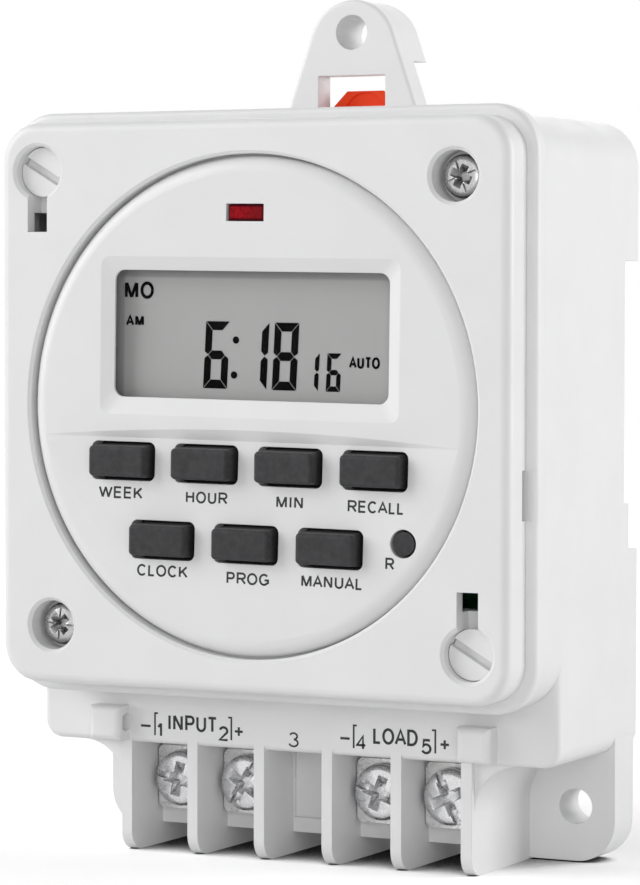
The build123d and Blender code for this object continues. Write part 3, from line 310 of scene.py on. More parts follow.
@dataclass(frozen=True)
class Rubber:
    """Matt moulded silicone, with a painted highlight along its edges and painted shade that darkens its
    sides.
    """
    name: str
    colour: Colour
    slot: Slot
    roughness: float = 0.72
    drift: float = 0.08         # how far its roughness varies
    sheen: float = 0.05
    sheen_rough: float = 0.4
    specular: float = 0.35
    dust: float = 1.6 * MM      # size of its paler and darker patches
    dust_share: float = 0.1
    handled: float = 0.7 * MM   # size of its duller patches
    edge_highlight: float = 2.0           # painted highlight: how much paler its edges are painted
    edge_highlight_wide: float = 0.45 * MM
    edge_highlight_from: float = 0.004    # how sharp it is where the painted highlight on an edge begins
    edge_highlight_to: float = 0.08
    sides: float = 0.15         # painted shade: how dark its sides are painted against its face
    side_shade_reach: float = 1.4 * MM
    side_shade_from: float = 0.72    # how open it is where the painted shade on a side begins to lift
    side_shade_to: float = 0.98
    grain: float = 0.09 * MM
    grain_deep: float = 0.006 * MM
    edge: float = 0.15 * MM

    def material(self) -> Material:
        """Builds the material.

        Returns:
            The rubber.
        """
        bench = Bench(self.name)
        face = bench.clouded(self.colour, 1 - self.dust_share, 1 + self.dust_share, self.dust, 4.0)
        # painted highlight: edges made paler in colour, where light catches them
        sharp = bench.between(bench.sharpness(self.edge_highlight_wide), 0, 1, self.edge_highlight_from, self.edge_highlight_to)
        edge_highlight = bench.mixed(sharp, face, tint(self.colour, self.edge_highlight))
        # painted shade: sides darkened in colour where they meet other faces
        clear = bench.between(bench.openness(self.side_shade_reach), 0, 1, self.side_shade_from, self.side_shade_to)
        return bench.done(
            Base_Color=bench.mixed(clear, tint(self.colour, self.sides), edge_highlight),
            Roughness=bench.drifting(self.roughness, self.drift, self.handled),
            Normal=bench.bump(bench.noise(self.grain), self.grain_deep, bench.soft_edges(self.edge)),
            Sheen_Weight=self.sheen, Sheen_Roughness=self.sheen_rough, Specular_IOR_Level=self.specular)


@dataclass(frozen=True)
class Metal:
    """Drawn, rolled or plated metal with fine marks from its making."""
    name: str
    colour: Colour
    slot: Slot
    roughness: float = 0.2
    stain: float = 0.75         # how dark its duller patches are
    stain_size: float = 0.9 * MM
    stain_from: float = 0.35    # how high its clouds are where a patch begins
    stain_to: float = 0.75
    smoothest: float = 0.6      # shares of its roughness between which it varies
    roughest: float = 1.6
    recess_shade: float = 1.0          # painted shade: how dark the bottoms of its recesses are painted
    recess_shade_reach: float = 0.9 * MM
    recess_shade_from: float = 0.35    # how open it is where the painted shade is darkest
    recess_shade_to: float = 0.85
    lines: Colour = (1.0, 1.0, 1.0)     # how fine its marks run along each axis
    line_size: float = 0.12 * MM
    line_deep: float = 0.002 * MM
    rings: float = 0.0          # spacing of turning marks about its own Y axis
    ring_deep: float = 0.003 * MM
    ring_cloud: float = 0.8 * MM    # size of the clouds that make its rings uneven
    edge: float = 0.05 * MM

    def material(self) -> Material:
        """Builds the material.

        Returns:
            The metal.
        """
        bench = Bench(self.name)
        patch = bench.between(bench.noise(self.stain_size, 3.0), 0, 1, self.stain_from, self.stain_to)
        colour = bench.mixed(patch, self.colour, tint(self.colour, self.stain))
        # painted shade, darkening the colour in its recesses
        if self.recess_shade < 1.0:
            unshaded = bench.between(bench.openness(self.recess_shade_reach), 0, 1, self.recess_shade_from, self.recess_shade_to)
            colour = bench.mixed(unshaded, tint(self.colour, self.recess_shade), colour)
        marks = bench.noise(self.line_size, 2.0, bench.stretched(self.lines))
        normal = bench.bump(marks, self.line_deep, bench.soft_edges(self.edge))
        if self.rings:
            x, _, z = bench.split(bench.place)
            square = bench.maths("ADD", bench.maths("POWER", x, 2.0), bench.maths("POWER", z, 2.0))
            ring = bench.maths("MULTIPLY", bench.maths("SQRT", square), 2 * math.pi / self.rings)
            wave = bench.maths("SINE", bench.maths("ADD", ring, bench.noise(self.ring_cloud)))
            normal = bench.bump(bench.between(wave, 0, 1, -1, 1), self.ring_deep, normal)
        rough = bench.varied(self.roughness * self.smoothest, self.roughness * self.roughest,
                             self.stain_size / 2, 3.0)
        return bench.done(Base_Color=colour, Roughness=rough, Normal=normal, Metallic=1.0)


@dataclass(frozen=True)
class ClearPane:
    """A thin clear window, very slightly hazy from handling."""
    name: str
    slot: Slot
    haze: float = 0.003
    thinnest: float = 0.7       # shares of its haze between which it varies
    thickest: float = 1.3
    smear: float = 5 * MM
    smear_along: Colour = (1.0, 1.0, 2.5)       # how fine its smears are along each axis
    smoothest: float = 0.04
    roughest: float = 0.12
    wave: float = 6 * MM        # how far apart its faint waves are
    wave_deep: float = 0.01 * MM
    dull: Colour = (0.80, 0.81, 0.81)
    bright: Colour = (0.88, 0.89, 0.89)

    def material(self) -> Material:
        """Builds the material.

        Returns:
            The window's plastic.
        """
        bench = Bench(self.name)
        smear = bench.noise(self.smear, 3.0, bench.stretched(self.smear_along))
        return bench.done(
            Base_Color=bench.mixed(smear, self.dull, self.bright),
            Roughness=bench.between(smear, self.smoothest, self.roughest),
            Alpha=bench.between(smear, self.haze * self.thinnest, self.haze * self.thickest),
            Normal=bench.bump(bench.noise(self.wave), self.wave_deep))


@dataclass(frozen=True)
class DisplayGlass:
    """The grey reflective display, with the bezel's shadow painted along its top and left edges and painted
    light that makes it brighter at its left.
    """
    name: str
    slot: Slot
    colour: Colour
    width: float
    height: float
    middle_z: float
    # painted shadow of the bezel, along the top and left edges
    top_shadow: float = 0.85 * MM
    side_shadow: float = 0.12 * MM
    soft: float = 0.2 * MM
    shadow_share: float = 0.72    # painted shadow: how dark the bezel's shadow along the top and left is painted
    painted_light_left: float = 1.04    # painted light: how bright it is painted at its left and right ends
    painted_light_right: float = 0.98
    grain: float = 0.15 * MM
    grain_low: float = 0.97     # shares between which its grain varies
    grain_high: float = 1.03
    low_tint: float = 0.9       # share of its colour at level 0.5
    high_tint: float = 1.1      # at level 1.5
    smoothest: float = 0.38
    roughest: float = 0.5
    smear: float = 3 * MM       # size of its duller patches
    tooth: float = 0.12 * MM    # size of its fine unevenness
    tooth_deep: float = 0.001 * MM

    def material(self) -> Material:
        """Builds the material.

        Returns:
            The display's glass.
        """
        bench = Bench(self.name)
        x, _, z = bench.split(bench.stretched((1.0, 1.0, 1.0), (0.0, -MODULE_TURN, 0.0)))
        # painted shadow of the bezel along the top and left edges
        from_side = bench.maths("ADD", bench.maths("ADD", x, self.width / 2), self.top_shadow - self.side_shadow)
        from_top = bench.maths("SUBTRACT", self.middle_z + self.height / 2, z)
        edge = bench.maths("MINIMUM", from_side, from_top)
        clear = bench.between(edge, 0, 1, self.top_shadow - self.soft, self.top_shadow + self.soft)
        # painted light, brighter at the left
        light_slope = bench.between(x, self.painted_light_left, self.painted_light_right, -self.width / 2, self.width / 2)
        grain = bench.varied(self.grain_low, self.grain_high, self.grain, 1.0)
        level = bench.maths("SUBTRACT", bench.maths("MULTIPLY", light_slope, grain), 0.5)
        plain = bench.mixed(level, tint(self.colour, self.low_tint), tint(self.colour, self.high_tint))
        return bench.done(
            Base_Color=bench.mixed(clear, tint(self.colour, self.shadow_share), plain),
            Roughness=bench.varied(self.smoothest, self.roughest, self.smear),
            Normal=bench.bump(bench.noise(self.tooth), self.tooth_deep))


@dataclass(frozen=True)
class RedLens:
    """A dark red lens with painted light that fades from its left to its right, painted glints, and painted
    shade along its edges.
    """
    name: str
    slot: Slot
    # painted shade: the colour of its shaded edges
    rim_shade_red: Colour = (0.110, 0.002, 0.007)
    deep_red: Colour = (0.150, 0.002, 0.007)
    bright_red: Colour = (0.340, 0.003, 0.007)
    across: float = 1.0         # half the width over which its painted light fades to the right
    fade_from: float = -0.6     # share of that width where it begins
    # painted light: how bright it is painted at its left and at its right
    lit_left: float = 1.0
    lit_right: float = 0.25
    glint: float = 0.5 * MM     # size of its glints
    glint_low: float = 0.35     # how bright it is between its glints
    glint_from: float = 0.35    # how high its clouds are where a glint begins
    glint_to: float = 0.65
    smoothest: float = 0.22
    roughest: float = 0.4
    rib: float = 0.45 * MM      # spacing of the ribs on its inner side
    rib_deep: float = 0.008 * MM
    edge: float = 0.1 * MM
    rim_shade_reach: float = 0.9 * MM
    rim_shade_from: float = 0.5      # how open it is where the painted shade at its edge is darkest
    rim_shade_to: float = 0.95
    specular: float = 0.08

    def material(self) -> Material:
        """Builds the material.

        Returns:
            The red plastic.
        """
        bench = Bench(self.name)
        x = bench.split(bench.place)[0]
        # painted light, brighter at the left and fading to the right
        fade = bench.between(x, self.lit_left, self.lit_right, self.fade_from * self.across,
                             self.across)
        glints = bench.between(bench.noise(self.glint, 3.0), self.glint_low, 1.0, self.glint_from,
                               self.glint_to)
        body = bench.mixed(bench.maths("MULTIPLY", fade, glints), self.deep_red, self.bright_red)
        ribs = bench.maths("SINE", bench.maths("MULTIPLY", x, 2 * math.pi / self.rib))
        # painted shade, darkening its edges in the crevice round it
        clear = bench.between(bench.openness(self.rim_shade_reach), 0, 1, self.rim_shade_from, self.rim_shade_to)
        return bench.done(
            Base_Color=bench.mixed(clear, self.rim_shade_red, body),
            Roughness=bench.between(glints, self.smoothest, self.roughest),
            Normal=bench.bump(bench.between(ribs, 0, 1, -1, 1), self.rib_deep, bench.soft_edges(self.edge)),
            Specular_IOR_Level=self.specular)


@dataclass(frozen=True)
class BoardLacquer:
    """Green solder lacquer over copper tracks, with tinned pads."""
    name: str
    slot: Slot
    green: Colour = (0.015, 0.16, 0.06)
    track: Colour = (0.04, 0.30, 0.12)
    tin: Colour = (0.62, 0.62, 0.60)
    track_grid: float = 3.2 * MM
    track_loose: float = 0.3    # how far its tracks stray from the grid
    gap_foot: float = 0.10      # half the gap between tracks, as shares of the grid
    gap_top: float = 0.13
    pad_grid: float = 2.54 * MM
    pad_loose: float = 0.15
    pad_top: float = 0.16       # a pad's radius, as shares of the grid
    pad_foot: float = 0.2
    lacquer_rough: float = 0.35
    tin_rough: float = 0.22
    copper_deep: float = 0.03 * MM

    def material(self) -> Material:
        """Builds the material.

        Returns:
            The lacquered board.
        """
        bench = Bench(self.name)
        cells, dots = (
            bench.feed(bench.node("ShaderNodeTexVoronoi", feature=feature), Randomness=loose,
                       Vector=bench.stretched((1.0, 0.01, 1.0)), Scale=1 / grid).outputs["Distance"]
            for feature, grid, loose in (
                ("DISTANCE_TO_EDGE", self.track_grid, self.track_loose),
                ("F1", self.pad_grid, self.pad_loose)))
        track = bench.between(cells, 0, 1, self.gap_foot, self.gap_top)
        pad = bench.between(dots, 1, 0, self.pad_top, self.pad_foot)
        return bench.done(
            Base_Color=bench.mixed(pad, bench.mixed(track, self.green, self.track), self.tin),
            Roughness=bench.between(pad, self.lacquer_rough, self.tin_rough), Metallic=pad,
            Normal=bench.bump(bench.maths("ADD", track, pad), self.copper_deep))


@dataclass(frozen=True)
class Ink:
    """Pad-printed ink, slightly uneven in cover."""
    name: str
    slot: Slot
    colour: Colour = (0.050, 0.050, 0.052)
    roughness: float = 0.6
    specular: float = 0.1
    drift: float = 0.07         # how far its roughness varies
    cloud: float = 0.35 * MM    # size of its thinner and thicker patches
    thickest: float = 0.85      # shares of its colour at its thickest and thinnest
    thinnest: float = 1.25
    dull: float = 0.5 * MM      # size of its duller patches
    grain: float = 0.08 * MM
    grain_deep: float = 0.002 * MM

    def material(self) -> Material:
        """Builds the material.

        Returns:
            The ink.
        """
        bench = Bench(self.name)
        return bench.done(
            Base_Color=bench.clouded(self.colour, self.thickest, self.thinnest, self.cloud, 3.0),
            Roughness=bench.drifting(self.roughness, self.drift, self.dull),
            Normal=bench.bump(bench.noise(self.grain), self.grain_deep), Specular_IOR_Level=self.specular)


@cache
def stock(finish: object) -> Material:
    """The material of a finish, built when it is first asked for."""
    return finish.material()


WHITE_CASE = MouldedPlastic("white_case", (0.800, 0.800, 0.805), Slot.WHITE)
WHITE_FACE = MouldedPlastic("white_face", (0.785, 0.785, 0.790), Slot.WHITE, cloud=12 * MM)
INK = Ink("grey_ink", Slot.BLACK)
SEGMENT_INK = Ink("display_segment", Slot.BLACK, (0.002, 0.002, 0.0022), 0.8, 0.0)
KEY_RUBBER = Rubber("key_rubber", (0.030, 0.030, 0.032), Slot.RUBBER)
PLATED = Metal("nickel_plating", (0.70, 0.70, 0.71), Slot.PLATED, 0.26, 0.88, recess_shade=0.2, rings=0.22 * MM)
DARK_PLATED = Metal("dull_plating", (0.50, 0.50, 0.50), Slot.PLATED, 0.3, 0.75, recess_shade=0.15, rings=0.2 * MM)
WASHER_PLATING = Metal("washer_plating", (0.74, 0.74, 0.74), Slot.PLATED, 0.34, 0.92, recess_shade=0.5,
                       recess_shade_reach=0.5 * MM, lines=(1.0, 1.0, 6.0))


# Meshes

def stand(name: str, data: object) -> Object:
    """Puts a new object into the scene.

    Args:
        name: The object's name.
        data: Its mesh, lamp or camera.

    Returns:
        The object.
    """
    made = bpy.data.objects.new(name, data)
    bpy.context.scene.collection.objects.link(made)
    return made


def smoothed(mesh: Mesh) -> Mesh:
    """Shades a mesh smooth but for its sharp edges.

    Args:
        mesh: The mesh.

    Returns:
        The same mesh.
    """
    mesh.shade_smooth()
    mesh.set_sharp_from_angle(angle=SMOOTH_TO)
    return mesh


def taken(shape: bmesh.types.BMesh, name: str) -> Mesh:
    """Turns a shape that was worked on into a mesh.

    Args:
        shape: The shape, which is used up.
        name: The mesh's name.

    Returns:
        The mesh.
    """
    made = bpy.data.meshes.new(name)
    shape.to_mesh(made)
    shape.free()
    return made


def joined(meshes: Sequence[Mesh]) -> Mesh:
    """Several meshes as one.

    Args:
        meshes: The meshes, which stay where they are.

    Returns:
        A new mesh that holds them all.
    """
    whole = bmesh.new()
    for mesh in meshes:
        whole.from_mesh(mesh)
    return taken(whole, "joined")


def worked(mesh: Mesh, kind: str, **settings: object) -> Mesh:
    """A mesh as one of Blender's modifiers leaves it.

    Args:
        mesh: The mesh.
        kind: The modifier's type.
        settings: The modifier's properties.

    Returns:
        The new mesh.
    """
    holder = stand("holder", mesh)
    step = holder.modifiers.new("step", kind)
    for key, value in settings.items():
        setattr(step, key, value)
    made = bpy.data.meshes.new_from_object(holder.evaluated_get(bpy.context.evaluated_depsgraph_get()))
    bpy.data.objects.remove(holder)
    return made


def cut(body: Mesh, tool: Mesh) -> Mesh:
    """Takes one closed mesh out of another.

    Args:
        body: The mesh that is cut.
        tool: The mesh that is taken out.

    Returns:
        What is left.
    """
    knife = stand("knife", tool)
    left = worked(body, "BOOLEAN", operation="DIFFERENCE", solver="EXACT", object=knife)
    bpy.data.objects.remove(knife)
    return left


def eased(mesh: Mesh, width: float) -> Mesh:
    """Breaks a mesh's sharp edges over a width and shades the rest smooth."""
    return smoothed(worked(mesh, "BEVEL", width=width, segments=2, limit_method="ANGLE",
                           angle_limit=EASED_FROM))


def skinned(*solids: Sequence[Ring]) -> Mesh:
    """Closed skins over rings of points: each ring joins the next, and both ends are capped.

    Args:
        solids: The rings of each solid, all of the same number of points. A ring that repeats
            one point is a tip.

    Returns:
        One mesh with every skin.
    """
    shape = bmesh.new()
    for rings in solids:
        rows = []
        for ring in rings:
            tip = ring[0] == ring[1]
            rows.append([shape.verts.new(ring[0])] * len(ring) if tip
                        else [shape.verts.new(point) for point in ring])
        for first, second in zip(rows, rows[1:]):
            for i in range(len(first)):
                j = (i + 1) % len(first)
                shape.faces.new(list(dict.fromkeys((first[i], first[j], second[j], second[i]))))
        for end in (rows[0], rows[-1]):
            if end[0] is not end[1]:
                shape.faces.new(end)
    bmesh.ops.recalc_face_normals(shape, faces=shape.faces)
    return taken(shape, "skin")


def circle(steps: int) -> list[float]:
    """The angles that part a circle into so many steps."""
    return [2 * math.pi * i / steps for i in range(steps)]


def oblong(y: float, wide: float, tall: float) -> Ring:
    """The corners of an oblong across the Y axis, of half a width and half a height."""
    return [(-wide, y, -tall), (wide, y, -tall), (wide, y, tall), (-wide, y, tall)]


def turned(profile: Outline) -> Mesh:
    """A closed profile, given by radius and y from the front to the back, spun about the Y axis."""
    return skinned([[(radius * math.cos(a), y, radius * math.sin(a)) for a in circle(TURNED_SIDES)]
                    for radius, y in profile])


def plates(outlines: Sequence[Outline], thick: float) -> Mesh:
    """Thin plates that face the front, their corners in x and z and their middle plane at y = 0."""
    return skinned(*([[(x, y, z) for x, z in outline] for y in (-thick / 2, thick / 2)]
                     for outline in outlines))


def tapered(length: float, width: float, y_top: float, y_end: float, end: float, turn: float) -> Mesh:
    """A tapered bar that cuts one slot of a screw's recess.

    Args:
        length: Its length at the top.
        width: Its width at the top.
        y_top: Where its wide end lies.
        y_end: Where its narrow end lies.
        end: The share of its length that is left at the narrow end.
        turn: How far it is turned about Y, in degrees.

    Returns:
        The bar.
    """
    bar = skinned([oblong(y, length / 2 * share, width / 2 * (1 - BAR_NARROWS + BAR_NARROWS * share))
                   for y, share in ((y_top, 1.0), (y_end, end))])
    bar.transform(Matrix.Rotation(math.radians(turn), 4, "Y"))
    return bar


def arc(x: float, z: float, wide: float, tall: float, start: float, end: float) -> list[tuple[float, float]]:
    """Points along an oval, counted anticlockwise from its right.

    Args:
        x: Its middle.
        z: Its middle.
        wide: Half its width.
        tall: Half its height.
        start: The first point's angle in degrees.
        end: The last point's angle.

    Returns:
        The points.
    """
    steps = max(2, round(abs(end - start) / ARC_STEP))
    angles = [math.radians(start + (end - start) * i / steps) for i in range(steps + 1)]
    return [(x + wide * math.cos(a), z + tall * math.sin(a)) for a in angles]


@dataclass(frozen=True)
class Letter:
    """A letter's width and side spaces as shares of its height, and its strokes' middle lines."""
    wide: float
    before: float
    after: float
    strokes: tuple[Outline, ...]


LETTERS = {
    "A": Letter(0.93, 0.0, 0.0, (((0, 0), (0.5, 1), (1, 0)), ((0.2, 0.33), (0.8, 0.33)))),
    "C": Letter(0.88, 0.07, 0.06, (arc(0.52, 0.5, 0.52, 0.5, 42, 318),)),
    "D": Letter(0.83, 0.10, 0.07, (((0.42, 0), (0, 0), (0, 1), (0.42, 1),
                                    *arc(0.42, 0.5, 0.58, 0.5, 75, -90)),)),
    "E": Letter(0.75, 0.11, 0.07, (((1, 1), (0, 1), (0, 0), (1, 0)), ((0, 0.52), (0.93, 0.52)))),
    "G": Letter(0.92, 0.07, 0.09, ((*arc(0.5, 0.5, 0.5, 0.5, 42, 312), (1, 0.2), (1, 0.45), (0.58, 0.45)),)),
    "H": Letter(0.785, 0.11, 0.11, (((0, 0), (0, 1)), ((1, 0), (1, 1)), ((0, 0.53), (1, 0.53)))),
    "I": Letter(0.0, 0.13, 0.13, (((0.5, 0), (0.5, 1)),)),
    "K": Letter(0.83, 0.10, 0.0, (((0, 0), (0, 1)), ((0.96, 1), (0, 0.33)), ((0.36, 0.58), (1, 0)))),
    "L": Letter(0.63, 0.10, 0.05, (((0, 1), (0, 0), (1, 0)),)),
    "M": Letter(0.95, 0.11, 0.11, (((0, 0), (0, 1)), ((0.04, 1), (0.5, 0)), ((0.5, 0), (0.96, 1)),
                                   ((1, 0), (1, 1)))),
    "N": Letter(0.78, 0.11, 0.12, (((0, 0), (0, 1)), ((0.03, 1), (0.97, 0)), ((1, 0), (1, 1)))),
    "O": Letter(0.95, 0.07, 0.07, (arc(0.5, 0.5, 0.5, 0.5, 0, 360),)),
    "P": Letter(0.76, 0.11, 0.06, (((0, 0), (0, 1), (0.55, 1),
                                    *arc(0.6, 0.73, 0.4, 0.27, 90, -90), (0, 0.46)),)),
    "R": Letter(0.88, 0.11, 0.0, (((0, 0), (0, 1), (0.55, 1),
                                   *arc(0.58, 0.74, 0.36, 0.26, 90, -90), (0, 0.48)),
                                  ((0.5, 0.46), (0.97, 0)))),
    "T": Letter(0.79, 0.03, 0.03, (((0, 1), (1, 1)), ((0.5, 0), (0.5, 1)))),
    "U": Letter(0.785, 0.11, 0.11, (((0, 1), *arc(0.5, 0.33, 0.5, 0.33, 180, 360), (1, 1)),)),
    "W": Letter(1.29, 0.01, 0.01, (((0, 1), (0.26, 0)), ((0.26, 0), (0.5, 1)), ((0.5, 1), (0.74, 0)),
                                   ((0.74, 0), (1, 1)))),
    "1": Letter(0.36, 0.15, 0.2, (((1, 0), (1, 1)), ((0.95, 0.96), (0, 0.7)))),
    "2": Letter(0.70, 0.04, 0.06, ((*arc(0.5, 0.72, 0.46, 0.28, 165, -30), (0.02, 0), (1, 0)),)),
    "3": Letter(0.70, 0.05, 0.06, (arc(0.48, 0.765, 0.42, 0.235, 160, -85),
                                   arc(0.48, 0.265, 0.5, 0.265, 85, -165))),
    "4": Letter(0.74, 0.02, 0.04, (((0.72, 0), (0.72, 1), (0, 0.29), (1, 0.29)),)),
    "5": Letter(0.70, 0.05, 0.06, (((0.92, 1), (0.22, 1), (0.1, 0.5),
                                    *arc(0.48, 0.335, 0.5, 0.335, 128, -155)),)),
}


def ribbons(lines: Sequence[Outline], weight: float) -> Mesh:
    """Printed strokes of one weight that face the front, their backs at y = 0.

    Args:
        lines: The middle line of each stroke, in x and z.
        weight: How wide the strokes are.

    Returns:
        One mesh with all strokes.
    """
    solids = []
    for number, line in enumerate(lines):
        points = [Vector(point) for point in line]
        ways = [(b - a).normalized() for a, b in zip(points, points[1:])]
        front = -PRINT_THICK * (1.0 + LAYER * (number % 5))     # crossing strokes share no plane
        rings = []
        for i, point in enumerate(points):
            one, two = ways[max(i - 1, 0)], ways[min(i, len(ways) - 1)]
            along = (one + two).normalized()
            side = Vector((-along.y, along.x)) * (weight / 2 / max(SHARPEST, along.dot(one)))
            a, b = point + side, point - side
            rings.append([(a.x, front, a.y), (a.x, 0.0, a.y), (b.x, 0.0, b.y), (b.x, front, b.y)])
        solids.append(rings)
    return skinned(*solids)


def lettering(text: str, width: float, height: float, weight: float) -> Mesh:
    """A word in plain capitals as thin print that faces the front.

    Args:
        text: The word.
        width: Its width from the first stroke to the last.
        height: The height of its capitals.
        weight: How wide its strokes are.

    Returns:
        The word's mesh, centred on the origin.
    """
    thin = weight / height
    at = -LETTERS[text[0]].before
    placed = []
    for sign in text:
        letter = LETTERS[sign]
        at += letter.before
        wide = max(letter.wide, thin)
        for line in letter.strokes:
            placed.append([(at + thin / 2 + u * (wide - thin), v) for u, v in line])
        at += wide + letter.after
    at -= LETTERS[text[-1]].after
    scale = (width - weight) / (at - thin) if len(text) > 1 or at > thin else 1.0
    lines = [[((x - at / 2) * scale, (v - 0.5) * (height - weight)) for x, v in line] for line in placed]
    return ribbons(lines, weight)


def laid(mesh: Mesh, where: Matrix, node: str) -> Mesh:
    """Lays print on the front of a solid, following its surface.

    Args:
        mesh: The print, facing the front.
        where: The place it would have on a flat face.
        node: The solid that carries it.

    Returns:
        The same mesh, in place.
    """
    solid = bpy.data.objects[node]
    ahead, deep = PRINT_REACH
    for vertex in mesh.vertices:
        place = where @ Vector((vertex.co.x, 0.0, vertex.co.z))
        start = Vector((place.x, place.y - ahead, place.z))
        found, hit, _, _ = solid.ray_cast(start, Vector((0.0, 1.0, 0.0)), distance=deep)
        vertex.co = (place.x, (hit.y if found else place.y) + vertex.co.y, place.z)
    return mesh


def install(name: str, mesh: Mesh, finish: object, body: str, where: Matrix = HOME,
            stands_for: Sequence[str] = ()) -> Object:
    """Puts a piece into the scene.

    Args:
        name: The piece's name.
        mesh: Its mesh.
        finish: Its finish, which names its slot too.
        body: The body that it rides on.
        where: Its place.
        stands_for: The solids that it replaces.

    Returns:
        The piece.
    """
    piece = stand(name, mesh)
    mesh.name = name
    mesh.materials.clear()
    mesh.materials.append(stock(finish))
    piece.matrix_world = where
    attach(piece, body)
    if stands_for:
        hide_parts(*stands_for)
    LOG.info("made %s on %s", name, body)
    return piece


def printed(name: str, mesh: Mesh, where: Matrix, node: str) -> None:
    """Prints ink on the front of one of the housing's solids, from its place on a flat face."""
    install(name, laid(mesh, where, node), INK, "housing")


def dress(node: str, finish: object) -> None:
    """Gives a solid its finish.

    Args:
        node: The solid's node.
        finish: Its finish.
    """
    for holder in bpy.data.objects[node].material_slots:
        holder.link = "OBJECT"
        holder.material = stock(finish)
    LOG.info("dressed %s in %s", node, finish.name)


def middle(node: str) -> Vector:
    """The middle of a solid's box."""
    low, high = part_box(node)
    return (Vector(low) + Vector(high)) / 2


def on_module(x: float, z: float, y: float) -> Matrix:
    """A place on the turned module, from where it would be unturned."""
    return Matrix.Rotation(MODULE_TURN, 4, "Y") @ Matrix.Translation((x, y, z))


@dataclass
class PanScrew:
    """A pan head screw with its recess and thread, head to the front, seat at y = 0."""
    head_r: float
    head_tall: float
    edge_r: float
    shank_r: float
    shank_long: float
    pitch: float
    drive: Drive
    turn: float                 # of the recess, in degrees
    crown: float = 0.12 * MM
    corner_steps: int = 6
    crown_r: float = 0.5        # share of its flat where the crown has lost a quarter
    under_tall: float = 0.1     # share of the head's height that draws in to its seat
    under_r: float = 0.97       # share of the head's radius at its seat
    tool_above: float = 0.05 * MM       # how far the recess's tools start before the head
    broken_edge: float = 0.09 * MM
    thread_deep: float = 0.22   # share of the shank's radius
    thread_sides: int = 28
    thread_rows: int = 6        # in each turn
    run_out: float = 1.5        # turns over which the tip narrows
    tip: float = 0.75           # share of the radius that the tip keeps
    arm_wide: float = 0.40      # share of the head's radius
    arm_long: float = 1.32
    arm_end: float = 0.4        # share of an arm's length that reaches its bottom
    recess_deep: float = 0.85   # share of the head's height
    slot_long: float = 2.3
    slot_wide: float = 0.24
    slot_deep: float = 0.40
    score_long: float = 1.5
    score_wide: float = 0.09
    score_deep: float = 0.16

    def head(self) -> Mesh:
        """Builds the head with its recess.

        Returns:
            The head's mesh.
        """
        top = -self.head_tall
        flat_r = self.head_r - self.edge_r
        profile = [(0.0, top), (flat_r * self.crown_r, top + self.crown / 4), (flat_r, top + self.crown)]
        for i in range(1, self.corner_steps + 1):
            a = math.pi / 2 * i / self.corner_steps
            profile.append((flat_r + self.edge_r * math.sin(a),
                            top + self.crown + self.edge_r * (1 - math.cos(a))))
        profile += [(self.head_r, -self.under_tall * self.head_tall),
                    (self.head_r * self.under_r, 0.0), (0.0, 0.0)]
        bars = [(self.arm_long, self.arm_wide, self.recess_deep, self.arm_end, arm) for arm in (0, 90)]
        if self.drive is Drive.CROSS_AND_SLOT:
            bars.append((self.slot_long, self.slot_wide, self.slot_deep, 1.0, 0))
        else:
            bars += [(self.score_long, self.score_wide, self.score_deep, 1.0, score) for score in (45, 135)]
        body = turned(profile)
        for long, wide, deep, end, turn in bars:
            body = cut(body, tapered(long * self.head_r, wide * self.head_r, top - self.tool_above,
                                     top + deep * self.head_tall, end, self.turn + turn))
        return body

    def thread(self) -> Mesh:
        """Builds the threaded shank.

        Returns:
            The shank's mesh.
        """
        rows = int(self.shank_long / self.pitch * self.thread_rows)
        rings = []
        for row in range(rows + 1):
            y = self.shank_long * row / rows
            ease = min(1.0, (self.shank_long - y) / (self.run_out * self.pitch))
            narrow = self.shank_r * (self.tip + (1 - self.tip) * ease)
            ring = []
            for i, a in enumerate(circle(self.thread_sides)):
                phase = (y / self.pitch + i / self.thread_sides) % 1.0
                r = narrow * (1 - self.thread_deep * 2 * abs(phase - 0.5))
                ring.append((r * math.cos(a), y, r * math.sin(a)))
            rings.append(ring)
        return skinned(rings)

    def mesh(self) -> Mesh:
        """The whole screw."""
        return joined([eased(self.head(), self.broken_edge), self.thread()])


